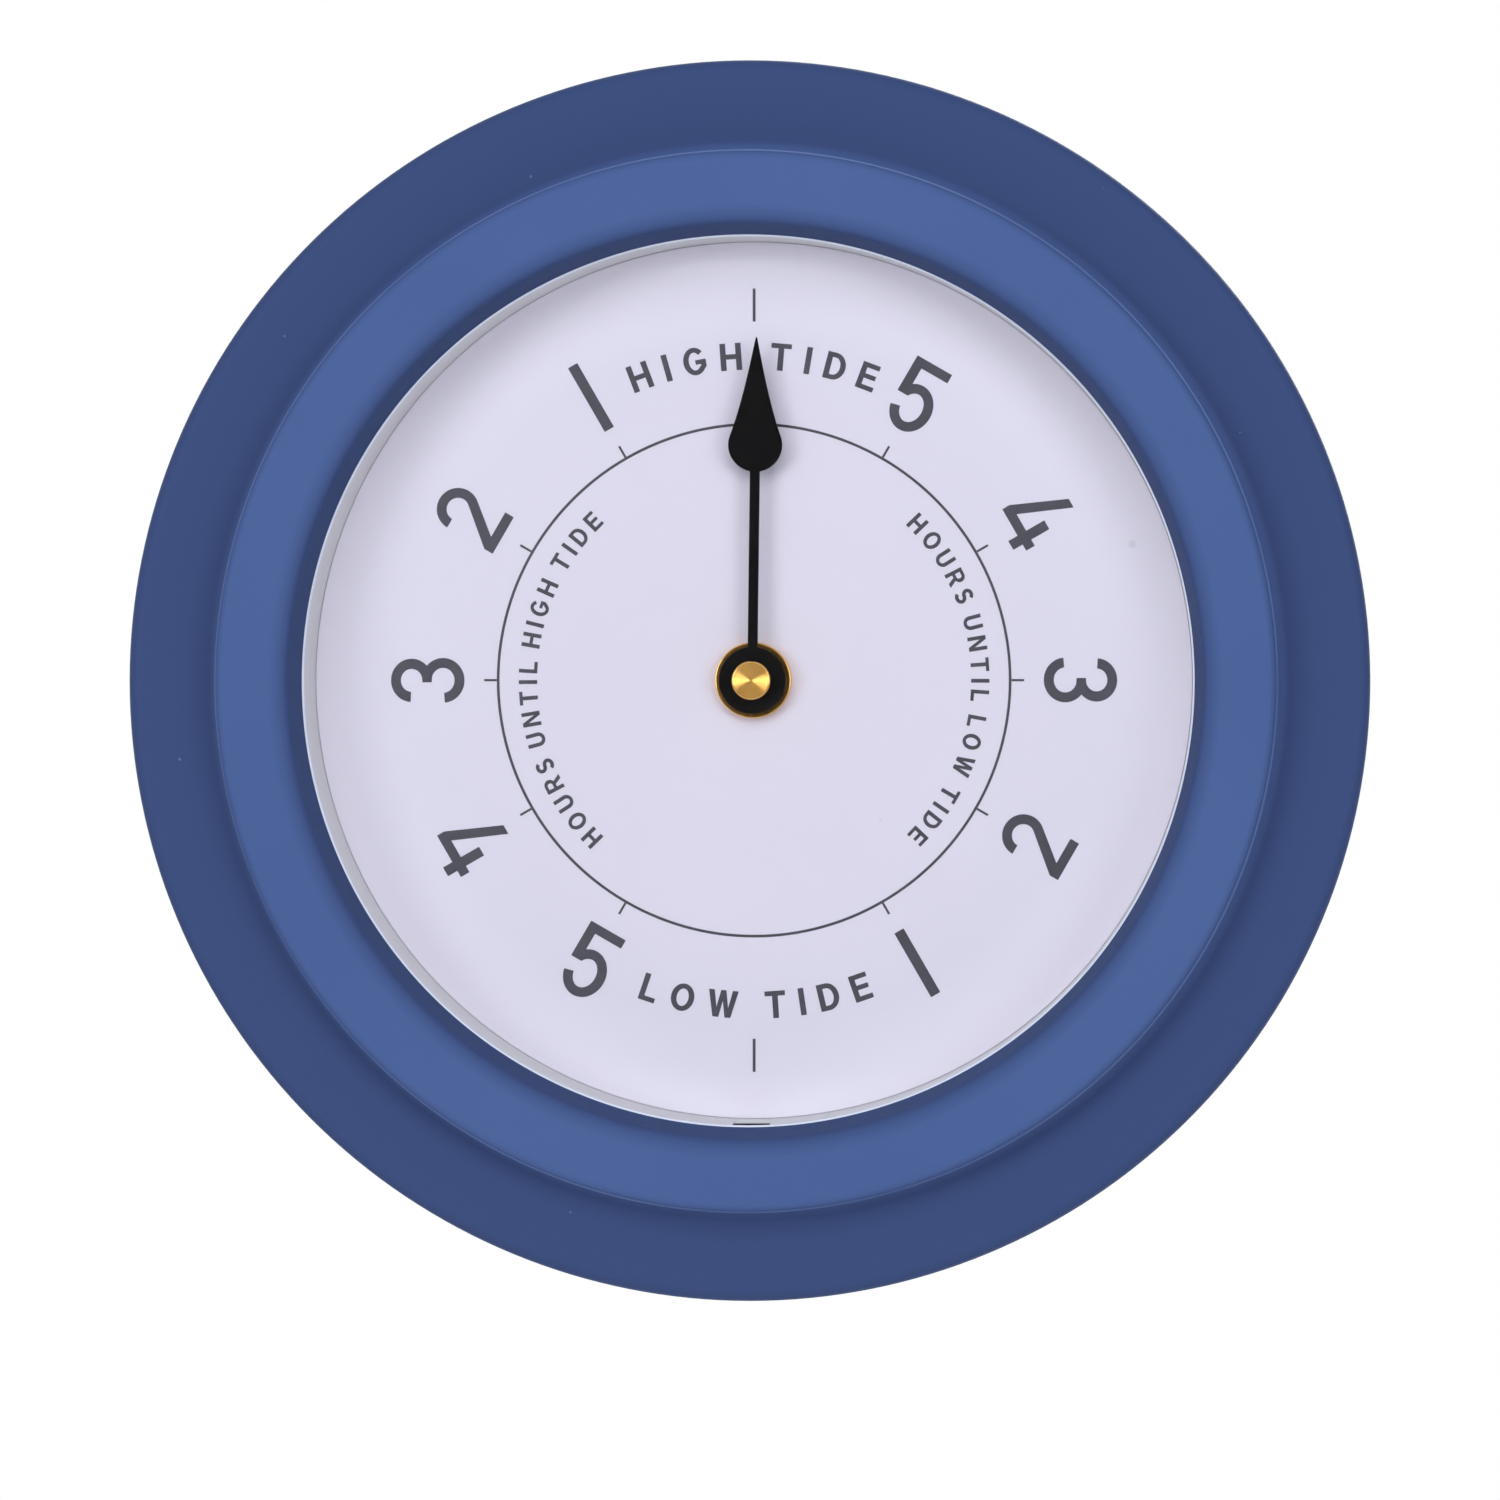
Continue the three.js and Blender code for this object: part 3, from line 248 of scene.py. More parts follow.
def joined(name: str, *objects: bpy.types.Object) -> bpy.types.Object:
    """Joins objects that don't touch into one named mesh.

    Args:
        name: Name of the joined object.
        objects: Objects to join.

    Returns:
        The joined object.
    """
    pick(*objects)
    bpy.ops.object.join()
    return named(name)


def copied(obj: bpy.types.Object, name: str, move: Vector) -> bpy.types.Object:
    """Copy of an object with its own mesh, moved and its move applied.

    Args:
        obj: Object to copy.
        name: Name of the copy.
        move: How far it is moved, in metres.

    Returns:
        The copy.
    """
    pick(obj)
    bpy.ops.object.duplicate()
    bpy.ops.transform.translate(value=move)
    bpy.ops.object.transform_apply()
    return named(name)


def trace(name: str, points: Sequence[Vector]) -> bpy.types.Object:
    """Chain of edges: a plane merged to one vertex, which is extruded from point to point.

    Args:
        name: Name of the new object.
        points: Points in the row frame.

    Returns:
        The object, left in edit mode.
    """
    pick()
    bpy.ops.mesh.primitive_plane_add(size=MM)
    obj = named(name)
    bpy.ops.object.mode_set(mode="EDIT")
    bpy.ops.mesh.select_all(action="SELECT")
    bpy.ops.mesh.merge(type="CENTER")
    bpy.ops.transform.translate(value=points[0])
    for a, b in zip(points, points[1:]):
        bpy.ops.mesh.extrude_region_move(TRANSFORM_OT_translate={"value": b - a})
    bpy.ops.mesh.select_all(action="SELECT")
    return obj


def closed(obj: bpy.types.Object) -> bpy.types.Object:
    """Turns all faces of the mesh that is being edited outwards and leaves edit mode.

    Args:
        obj: Object in edit mode.

    Returns:
        The same object.
    """
    bpy.ops.mesh.select_all(action="SELECT")
    bpy.ops.mesh.normals_make_consistent(inside=False)
    bpy.ops.object.mode_set(mode="OBJECT")
    return obj


def turned(name: str, profile: Sequence[Pair], steps: int, at: Pair = (0, 0)) -> bpy.types.Object:
    """Spins a profile about an axis that runs along the depth.

    Args:
        name: Name of the new object.
        profile: (radius, depth) points in mm, closed or with both ends on the axis.
        steps: Steps round the full turn.
        at: (x, height) of the axis in mm.

    Returns:
        The new solid.
    """
    obj = trace(name, [spot(at[0] + r, s, at[1]) for r, s in profile])
    bpy.ops.mesh.spin(steps=steps, angle=2 * math.pi, center=spot(at[0], 0, at[1]), axis=(0, 1, 0))
    bpy.ops.mesh.select_all(action="SELECT")
    bpy.ops.mesh.remove_doubles(threshold=WELD)
    return closed(obj)


def filled(name: str, corners: Sequence[Vector], rise: Vector) -> bpy.types.Object:
    """Fills a loop of corners and extrudes the face.

    Args:
        name: Name of the new object.
        corners: Points in the row frame, not closed.
        rise: Way of the extrusion.

    Returns:
        The new solid.
    """
    obj = trace(name, (*corners, corners[0]))
    bpy.ops.mesh.remove_doubles(threshold=WELD)
    bpy.ops.mesh.edge_face_add()
    bpy.ops.mesh.extrude_region_move(TRANSFORM_OT_translate={"value": rise})
    return closed(obj)


def slab(name: str, outline: Sequence[Pair], rear: float, front: float) -> bpy.types.Object:
    """Fills an outline and extrudes it along the depth.

    Args:
        name: Name of the new object.
        outline: (x, height) points in mm, not closed.
        rear: Depth of its rear face.
        front: Depth of its front face.

    Returns:
        The new solid.
    """
    return filled(name, [spot(x, rear, h) for x, h in outline], spot(0, front - rear, AXIS_DROP))


def rod(name: str, radius: float, rear: float, front: float, at: Pair, steps: int = 24) -> bpy.types.Object:
    """Round bar along the depth, spun from its half profile."""
    return turned(name, [(0, rear), (radius, rear), (radius, front), (0, front)], steps, at)


class Graph:
    """Adds and joins nodes in one node tree."""

    def __init__(self, tree: bpy.types.NodeTree) -> None:
        """Keeps the tree and empties it."""
        self.tree = tree
        tree.nodes.clear()

    def add(self, kind: str, inputs: Inputs | None = None, **settings: object) -> bpy.types.Node:
        """Adds a node.

        Args:
            kind: Its type without the ShaderNode prefix.
            inputs: Values or outputs for its input sockets.
            settings: Its properties.

        Returns:
            The node.
        """
        prefix = "" if kind.startswith("NodeGroup") else "ShaderNode"
        node = self.tree.nodes.new(prefix + kind)
        for key, value in settings.items():
            setattr(node, key, value)
        for key, value in (inputs or {}).items():
            if isinstance(value, Socket):
                self.tree.links.new(value, node.inputs[key])
            else:
                node.inputs[key].default_value = value
        return node

    def math(self, operation: str, *values: object) -> Socket:
        """Output of a math node over values or outputs."""
        return self.add("Math", dict(enumerate(values)), operation=operation).outputs[0]

    def span(self, value: Socket, start: float, stop: float, low: float = 0.0, high: float = 1.0) -> Socket:
        """Maps a range of an output to another one, clamped."""
        inputs = {"Value": value, "From Min": start, "From Max": stop, "To Min": low, "To Max": high}
        return self.add("MapRange", inputs).outputs[0]

    def noise(self, vector: Socket, scale: object, detail: float) -> Socket:
        """Grey noise over a vector."""
        return self.add("TexNoise", {"Vector": vector, "Scale": scale, "Detail": detail}).outputs["Fac"]

    def mix(self, share: object, a: object, b: object) -> Socket:
        """Mix of two colours."""
        return self.add("Mix", {0: share, 6: a, 7: b}, data_type="RGBA").outputs[2]

    def group(self, tree: bpy.types.NodeTree, **inputs: object) -> bpy.types.Node:
        """Adds a node group; an underscore in an input's name stands for a space.

        Args:
            tree: The group.
            inputs: Values of its inputs.

        Returns:
            The group's node.
        """
        node = self.add("Group", node_tree=tree)
        for key, value in inputs.items():
            node.inputs[key.replace("_", " ")].default_value = value
        return node


class Effect(Enum):
    """Shared effects, each a shader node group."""

    MARKS = "surface_marks"
    RADIUS = "axis_radius"
    LINES = "drawn_lines"

    def tree(self) -> bpy.types.NodeTree:
        """The effect's node group, built at its first use."""
        makers = {Effect.MARKS: self.marks, Effect.RADIUS: self.radius, Effect.LINES: self.lines}
        return bpy.data.node_groups.get(self.value) or makers[self]()

    def start(
        self, inputs: dict[str, float], outputs: Sequence[str]
    ) -> tuple[Graph, bpy.types.Node, bpy.types.Node]:
        """Opens a new group.

        Args:
            inputs: Names and defaults of its float inputs.
            outputs: Names of its float outputs.

        Returns:
            Its graph, input node and output node.
        """
        tree = bpy.data.node_groups.new(self.value, "ShaderNodeTree")
        for name, value in inputs.items():
            socket = tree.interface.new_socket(name, in_out="INPUT", socket_type="NodeSocketFloat")
            socket.default_value = value
        for name in outputs:
            tree.interface.new_socket(name, in_out="OUTPUT", socket_type="NodeSocketFloat")
        graph = Graph(tree)
        return graph, graph.add("NodeGroupInput"), graph.add("NodeGroupOutput")

    def marks(self) -> bpy.types.NodeTree:
        """Fine grain, broad clouds, sparse specks and a mask of convex edges.

        Returns:
            The new group.
        """
        inputs = {"Grain Scale": 1500.0, "Cloud Scale": 25.0, "Speck Scale": 150.0}
        speck_size, speckless = (0.03, 0.12), 0.82  # in cells, and the share of cells without one
        convex, broken = (0.51, 0.58), (0.4, 0.65)  # pointiness of worn edges, clouds that break them up
        graph, given, result = self.start(inputs, ("Grain", "Cloud", "Specks", "Edges"))
        place = graph.add("TexCoord").outputs["Object"]
        grain = graph.noise(place, given.outputs["Grain Scale"], 3.0)
        cloud = graph.noise(place, given.outputs["Cloud Scale"], 4.0)
        cells = graph.add("TexVoronoi", {"Vector": place, "Scale": given.outputs["Speck Scale"]})
        rare = graph.add("SeparateColor", {0: cells.outputs["Color"]})
        size = graph.span(rare.outputs[1], 0.0, 1.0, *speck_size)
        dot = graph.math("LESS_THAN", cells.outputs["Distance"], size)
        specks = graph.math("MULTIPLY", dot, graph.math("GREATER_THAN", rare.outputs[0], speckless))
        point = graph.add("NewGeometry").outputs["Pointiness"]
        worn = graph.math("MULTIPLY", graph.span(point, *convex), graph.span(cloud, *broken))
        for name, value in (("Grain", grain), ("Cloud", cloud), ("Specks", specks), ("Edges", worn)):
            graph.tree.links.new(value, result.inputs[name])
        return graph.tree

    def radius(self) -> bpy.types.NodeTree:
        """Distance from an axis that runs along the depth at a given height.

        Returns:
            The new group.
        """
        graph, given, result = self.start({"Axis Height": -AXIS_DROP * MM}, ("Radius",))
        place = graph.add("TexCoord").outputs["Object"]
        axis = graph.add("CombineXYZ", {2: given.outputs["Axis Height"]}).outputs[0]
        moved = graph.add("VectorMath", {0: place, 1: axis}, operation="SUBTRACT").outputs[0]
        flat = graph.add("VectorMath", {0: moved, 1: (1, 0, 1)}, operation="MULTIPLY").outputs[0]
        length = graph.add("VectorMath", {0: flat}, operation="LENGTH").outputs["Value"]
        graph.tree.links.new(length, result.inputs["Radius"])
        return graph.tree

    def lines(self) -> bpy.types.NodeTree:
        """Fine lines drawn along X.

        Returns:
            The new group.
        """
        stretch = (0.02, 1, 1)  # lines are fifty times as long as wide
        graph, given, result = self.start({"Line Scale": 4000.0}, ("Lines",))
        place = graph.add("TexCoord").outputs["Object"]
        flat = graph.add("VectorMath", {0: place, 1: stretch}, operation="MULTIPLY").outputs[0]
        graph.tree.links.new(graph.noise(flat, given.outputs["Line Scale"], 2.0), result.inputs["Lines"])
        return graph.tree


class Pattern(Enum):
    """Fine relief of a finish."""

    MOULDED = "grain only"
    DRAWN = "lines along X"


@dataclass(frozen=True)
class Finish:
    """Procedural finish of an opaque piece."""

    name: str
    slot: str
    colour: Rgb
    cloud: Rgb
    rough: float
    speck: Rgb
    specks: float = 0.3  # strength
    edge: Rgb | None = None  # tone of worn edges and of the rings, which on the blue paint is a painted highlight
    edges: float = 0.4  # strength of wear on convex edges
    spread: float = 0.06  # of the roughness, either way
    metallic: float = 0.0
    coat: float = 0.0
    coat_rough: float = 0.25
    specular: float = 0.5
    grain_scale: float = 1800.0
    grain_range: Pair = (0.25, 0.75)  # grain values that span the roughness
    cloud_scale: float = 22.0
    cloud_range: Pair = (0.3, 0.7)  # cloud values between which the second tone sets in
    speck_scale: float = 160.0
    relief: float = 0.02  # mm
    pattern: Pattern = Pattern.MOULDED
    wear_and_highlight_bands: tuple[tuple[float, float, float], ...] = ()  # worn rings, or on the blue paint a painted highlight ring: radius, half width and strength
    band_range: Pair = (0.3, 0.6)  # cloud values that break a ring up
    band_least: float = 0.3  # share of its strength where it is broken
    # painted shade or painted light laid into the colour by radius: its tone, and where it sets in
    painted_tone: Rgb | None = None
    painted_tone_within: Pair = (0.0, 0.0)  # mm from the hand axis, from full to none
    painted_tone_beyond: Pair = (0.0, 0.0)  # mm from the hand axis, from none to full

    def material(self) -> bpy.types.Material:
        """The finish as a material, built at its first use."""
        return bpy.data.materials.get(self.name) or self.build()

    def build(self) -> bpy.types.Material:
        """Builds the material's nodes and returns the material.

        Returns:
            The new material.
        """
        made = bpy.data.materials.new(self.name)
        made.use_nodes = True
        made.diffuse_color = linear(self.colour)
        graph = Graph(made.node_tree)
        marks = graph.group(
            Effect.MARKS.tree(),
            Grain_Scale=self.grain_scale,
            Cloud_Scale=self.cloud_scale,
            Speck_Scale=self.speck_scale,
        ).outputs
        height = marks["Grain"]
        if self.pattern is Pattern.DRAWN:
            height = graph.group(Effect.LINES.tree()).outputs["Lines"]
        clouds = graph.span(marks["Cloud"], *self.cloud_range)
        colour = graph.mix(clouds, linear(self.colour), linear(self.cloud))
        # Painted shade or painted light by radius: the paint darker on its lip and flange, the dial lighter
        # towards its edge.
        if self.painted_tone:
            colour = graph.mix(self.depth(graph), colour, linear(self.painted_tone))
        colour = graph.mix(graph.math("MULTIPLY", marks["Specks"], self.specks), colour, linear(self.speck))
        # Worn edges and rings; on the blue paint the ring at the shoulder bead is a painted highlight.
        if self.edge:
            colour = graph.mix(self.wear_and_highlight_mask(graph, marks), colour, linear(self.edge))
        rough = graph.span(height, *self.grain_range, self.rough - self.spread, self.rough + self.spread)
        bump = graph.add("Bump", {"Height": height, "Distance": self.relief * MM, "Strength": 1.0})
        shader = graph.add(
            "BsdfPrincipled",
            {
                "Base Color": colour,
                "Roughness": rough,
                "Normal": bump.outputs[0],
                "Metallic": self.metallic,
                "Coat Weight": self.coat,
                "Coat Roughness": self.coat_rough,
                "Specular IOR Level": self.specular,
            },
        )
        graph.add("OutputMaterial", {"Surface": shader.outputs[0]})
        return made

    def depth(self, graph: Graph) -> Socket:
        """Mask of the zones near the hand axis and far from it, where painted shade or painted light sets
        into the colour.

        Args:
            graph: Graph of the material.

        Returns:
            The mask's output.
        """
        radius = graph.group(Effect.RADIUS.tree()).outputs["Radius"]
        beyond = graph.span(radius, self.painted_tone_beyond[0] * MM, self.painted_tone_beyond[1] * MM)
        if not any(self.painted_tone_within):
            return beyond
        within = graph.span(radius, self.painted_tone_within[0] * MM, self.painted_tone_within[1] * MM, 1, 0)
        return graph.math("MAXIMUM", within, beyond)

    def wear_and_highlight_mask(self, graph: Graph, marks: bpy.types.bpy_prop_collection) -> Socket:
        """Mask of worn edges and painted highlights: convex edges, and the given rings round the hand axis.

        Args:
            graph: Graph of the material.
            marks: Outputs of the surface marks.

        Returns:
            The mask's output.
        """
        mask = graph.math("MULTIPLY", marks["Edges"], self.edges)
        for at, width, strength in self.wear_and_highlight_bands:
            radius = graph.group(Effect.RADIUS.tree()).outputs["Radius"]
            away = graph.math("ABSOLUTE", graph.math("SUBTRACT", radius, at * MM))
            band = graph.span(away, 0.0, width * MM, strength, 0.0)
            gaps = graph.span(marks["Cloud"], *self.band_range, self.band_least, 1.0)
            mask = graph.math("MAXIMUM", mask, graph.math("MULTIPLY", band, gaps))
        return mask


@dataclass(frozen=True)
class GlassFinish:
    """Clear glass that lets lamps through, with faint dust in its gloss."""

    name: str
    slot: str
    colour: Rgb
    rough: float = 0.015
    index: float = 1.45
    scales: tuple[float, float, float] = (600.0, 18.0, 90.0)  # of grain, clouds and specks
    dust_range: Pair = (0.4, 0.8)  # cloud values between which dust sets in
    dust: float = 3.0  # how many times rougher dust is
    speck_rough: float = 0.08

    def material(self) -> bpy.types.Material:
        """The glass as a material.

        Returns:
            The new material.
        """
        made = bpy.data.materials.new(self.name)
        made.use_nodes = True
        graph = Graph(made.node_tree)
        tree = Effect.MARKS.tree()
        grain, cloud, speck = self.scales
        marks = graph.group(tree, Grain_Scale=grain, Cloud_Scale=cloud, Speck_Scale=speck).outputs
        dusty = graph.span(marks["Cloud"], *self.dust_range, self.rough, self.rough * self.dust)
        rough = graph.math("MAXIMUM", dusty, graph.math("MULTIPLY", marks["Specks"], self.speck_rough))
        shader = graph.add(
            "BsdfPrincipled",
            {
                "Base Color": linear(self.colour),
                "Roughness": rough,
                "IOR": self.index,
                "Transmission Weight": 1.0,
            },
        )
        path = graph.add("LightPath").outputs
        lamp = graph.math("MAXIMUM", path["Is Shadow Ray"], path["Is Diffuse Ray"])
        clear = graph.add("BsdfTransparent", {"Color": linear(self.colour)})
        both = graph.add("MixShader", {0: lamp, 1: shader.outputs[0], 2: clear.outputs[0]})
        graph.add("OutputMaterial", {"Surface": both.outputs[0]})
        return made


@dataclass(frozen=True)
class Palette:
    """All finishes of the clock."""

    paint: Finish = Finish(
        "blue_paint", "paint", (69, 92, 145), (73, 96, 149), 0.6, (150, 165, 200),
        # The edge tone only feeds the rings here: the one at the shoulder bead is a painted highlight, the
        # one at the rim edge a lighter ring along it.
        specular=0.12, specks=0.22, edge=(120, 142, 190), edges=0.0,
        grain_scale=1300.0, cloud_scale=14.0, speck_scale=130.0, relief=0.012,
        wear_and_highlight_bands=((114.3, 0.4, 0.5), (134.7, 0.5, 0.2)),
        # Painted shade: the coat darker on the lip and across the flange, where shade falls.
        painted_tone=(55, 73, 118), painted_tone_within=(98.0, 102.4), painted_tone_beyond=(114.7, 117.0),
    )
    glass: GlassFinish = GlassFinish("clear_glass", "glass", (250, 252, 252))
    silicone: Finish = Finish(
        "white_silicone", "silicone", (226, 235, 252), (221, 230, 248), 0.55, (200, 200, 204), relief=0.01,
    )
    white: Finish = Finish(
        "white_plastic", "white_plastic", (250, 247, 248), (246, 243, 244), 0.42, (205, 203, 205),
        specks=0.2, edge=(240, 239, 240), grain_scale=1200.0, relief=0.01,
    )
    dial: Finish = Finish(
        "dial_print_ground", "dial", (232, 224, 242), (229, 221, 239), 0.6, (196, 192, 206),
        specks=0.35, cloud_scale=16.0, speck_scale=70.0, grain_scale=2600.0, relief=0.006,
        # Painted light: the dial ground lighter towards its edge, where the lip's shade falls.
        painted_tone=(241, 234, 249), painted_tone_beyond=(76.0, 95.0),
    )
    ink: Finish = Finish(
        "grey_ink", "dial", (62, 60, 72), (72, 70, 82), 0.5, (95, 93, 104),
        grain_scale=4000.0, cloud_scale=160.0, speck_scale=900.0, relief=0.004,
    )
    hand: Finish = Finish(
        "black_hand_paint", "hand_black", (6, 5, 7), (9, 8, 10), 0.55, (40, 38, 40),
        specks=0.2, edge=(22, 21, 22), specular=0.08, grain_scale=1600.0, speck_scale=300.0, relief=0.006,
    )
    brass: Finish = Finish(
        "turned_brass", "brass", (240, 186, 104), (232, 174, 92), 0.17, (150, 108, 56),
        specks=0.08, spread=0.03, edge=(246, 210, 140), metallic=1.0,
        cloud_scale=160.0, speck_scale=900.0, relief=0.002,
    )
    black: Finish = Finish(
        "black_moulding", "black_plastic", (30, 30, 33), (36, 36, 39), 0.5, (92, 92, 96),
        specks=0.25, edge=(74, 74, 78), edges=0.0, grain_scale=1500.0, relief=0.03,
        wear_and_highlight_bands=((119.2, 0.5, 0.5), (133.3, 0.5, 0.5)),
    )
    rubber: Finish = Finish(
        "black_rubber", "black_rubber", (24, 24, 25), (31, 31, 32), 0.75, (80, 80, 82), relief=0.02,
    )
    # Painted shade: near-black and without gloss, for the block that stands in for the latch slot's shadow.
    slot_shade: Finish = Finish(
        "slot_shade_black", "black_rubber", (13, 12, 15), (18, 17, 20), 0.95, (40, 39, 42),
        spread=0.04, specular=0.0, grain_scale=5000.0, relief=0.02,
    )
    zinc: Finish = Finish(
        "zinc_steel", "zinc_steel", (188, 192, 198), (168, 173, 180), 0.34, (120, 124, 130),
        edge=(214, 218, 222), metallic=1.0,
        cloud_scale=120.0, speck_scale=500.0, relief=0.006, pattern=Pattern.DRAWN,
    )
    gear: Finish = Finish(
        "gear_plastic", "gear_plastic", (232, 226, 208), (222, 215, 196), 0.45, (190, 184, 166), relief=0.006,
    )
    magnet: Finish = Finish(
        "ferrite", "magnet", (66, 66, 71), (80, 80, 84), 0.5, (120, 120, 124), metallic=0.4, relief=0.006,
    )
    copper: Finish = Finish(
        "enamelled_wire", "copper", (176, 92, 48), (150, 74, 36), 0.35, (110, 54, 26),
        metallic=1.0, cloud_scale=300.0, relief=0.04,
    )
    board: Finish = Finish(
        "circuit_board", "board", (38, 98, 62), (30, 82, 52), 0.45, (150, 170, 120),
        cloud_scale=500.0, speck_scale=700.0, coat=0.3, relief=0.02,
    )
    cell: Finish = Finish(
        "cell_wrapper", "cell", (62, 67, 73), (56, 60, 66), 0.34, (110, 114, 120),
        edge=(170, 174, 178), metallic=0.3, coat=0.4, relief=0.006,
    )


def dress(
    obj: bpy.types.Object, finish: Finish | GlassFinish, body: str, *nodes: str, smooth: float = 35
) -> bpy.types.Object:
    """Shades a finished piece, gives it its finish and ties it to the frame.

    Args:
        obj: The piece, at the origin.
        finish: Its finish.
        body: CAD body that it rides on.
        nodes: CAD nodes that it replaces.
        smooth: Largest angle in degrees that is shaded smooth.

    Returns:
        The same piece.
    """
    pick(obj)
    bpy.ops.object.shade_smooth_by_angle(angle=math.radians(smooth))
    applied(obj, "WEIGHTED_NORMAL", keep_sharp=True)
    obj.data.materials.clear()
    obj.data.materials.append(finish.material())
    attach(obj, body)
    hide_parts(*nodes)
    log.info("%s: %d faces, on %s", obj.name, len(obj.data.polygons), body)
    return obj


@dataclass
class FrontShell:
    """Pressed and painted steel front."""

    opening: float = 96.6
    ring: float = 17.4
    flange: float = 21.0
    sheet: float = 1.0
    lip_depth: float = 7.4
    lip_round: float = 2.0
    lip_draft: float = 15.0
    shoulder_round: float = 2.2
    bead: float = 0.55
    bead_drop: float = 3.1  # ring face to the middle of the bead
    rise: float = 9.6
    cove: float = 3.4
    rim_rise: float = 0.6
    edge_round: float = 3.2
    skirt: float = 1.0
    stud_radius: float = 2.0
    stud_circle: float = 121.0
    stud_tail: float = 9.8  # nut's front to the stud's end
    stud_tip: float = 0.4
    stud_plain: float = 4.0  # length without thread
    stud_foot: float = 1.0
    stud_gap: float = 0.05
    thread_pitch: float = 0.7
    thread_depth: float = 0.35
    flange_steps: int = 12
    steps: int = 256

    def lip(self, face: float, inset: float) -> list[Pair]:
        """Drafted lip wall and its round onto the ring face, inset from the outside.

        Args:
            face: Depth of the ring face in mm.
            inset: Distance behind the outer side in mm.

        Returns:
            (radius, depth) points in mm.
        """
        draft = math.radians(self.lip_draft)
        reach = self.lip_depth - self.lip_round * (1 - math.sin(draft))
        centre = self.opening + reach * math.tan(draft) + self.lip_round * math.cos(draft)
        curve = arc((centre, face - self.lip_round), self.lip_round - inset, 180 - self.lip_draft, 90, 10)
        rear = face - self.lip_depth
        return [(curve[0][0] - (curve[0][1] - rear) * math.tan(draft), rear), *curve]

    def side(self, face: float, inset: float) -> list[Pair]:
        """One side of the sheet from lip edge to skirt edge.

        Args:
            face: Depth of the ring face in mm.
            inset: Distance behind the outer side in mm.

        Returns:
            (radius, depth) points.
        """
        step = self.opening + self.ring
        flat = face - self.rise
        start, end = step + self.cove, step + self.flange - self.edge_round
        flange = []
        for i in range(1, self.flange_steps):
            t = i / self.flange_steps
            lift = self.rim_rise * t * t * (3 - 2 * t)
            flange.append((start + (end - start) * t, flat + lift - inset))
        shoulder = (step - self.shoulder_round, face - self.shoulder_round)
        bead = [] if inset else arc((step, face - self.bead_drop), self.bead, 90, -90, 8)
        return [
            *self.lip(face, inset),
            *arc(shoulder, self.shoulder_round - inset, 90, 0, 10),
            *bead,
            *arc((start, flat + self.cove), self.cove + inset, 180, 270, 14),
            *flange,
            *arc((end, flat + self.rim_rise - self.edge_round), self.edge_round - inset, 90, 0, 10),
            (step + self.flange - inset, self.skirt),
        ]

    def build(self, palette: Palette) -> None:
        """Models the shell and its four weld studs.

        Args:
            palette: The clock's finishes.
        """
        face = depths("case_front")[1]
        outside, inside = self.side(face, 0), self.side(face, self.sheet)
        loop = [*outside, *reversed(inside), outside[0]]
        shell = turned("front_shell", held(loop), self.steps)
        dress(shell, palette.paint, "case", "case_front")
        self.studs(palette, face - self.rise)

    def studs(self, palette: Palette, flat: float) -> None:
        """Models one threaded stud and copies it round the flange.

        Args:
            palette: The clock's finishes.
            flat: Depth of the flange's front in mm.
        """
        rear = depths("stud_nut_1")[1] - self.stud_tail
        front = flat - self.sheet - self.stud_gap
        crest = self.stud_radius
        profile = [(0, rear), (crest - self.stud_tip, rear)]
        for i in range(int((front - rear - self.stud_plain) / self.thread_pitch)):
            base = rear + self.stud_tip + i * self.thread_pitch
            profile += [(crest - self.thread_depth, base), (crest, base + self.thread_pitch / 2)]
        profile += [(crest, front - self.stud_foot), (crest, front), (0, front)]
        stud = turned("weld_stud_1", profile, 24, polar(self.stud_circle, 90))
        for i in range(1, 4):
            x, h = polar(self.stud_circle, 90 - 90 * i)
            move = spot(x, 0, h) - spot(self.stud_circle, 0, 0)
            dress(copied(stud, f"weld_stud_{i + 1}", move), palette.zinc, "case")
        dress(stud, palette.zinc, "case")


@dataclass
class Lens:
    """Flat glass and its seal."""

    chamfer: float = 0.35
    seal_inner: float = 96.25
    seal_outer: float = 101.0
    steps: int = 192

    def build(self, palette: Palette) -> None:
        """Models the glass with ground edges and the seal with a rounded inner edge.

        Args:
            palette: The clock's finishes.
        """
        rear, front = depths("glass_lens")
        radius = radius_of("glass_lens")
        c = self.chamfer
        edge = [(radius - c, rear), (radius, rear + c), (radius, front - c), (radius - c, front)]
        glass = turned("front_glass", [(0, rear), *edge, (0, front)], self.steps)
        dress(glass, palette.glass, "case", "glass_lens", smooth=20)
        rear, front = depths("lens_gasket")
        half = (front - rear) / 2
        nose = arc((self.seal_inner + half, rear + half), half, 270, 90, 10)
        loop = [(self.seal_outer, rear), *nose, (self.seal_outer, front), (self.seal_outer, rear)]
        dress(turned("glass_seal", held(loop), self.steps), palette.silicone, "case", "lens_gasket")


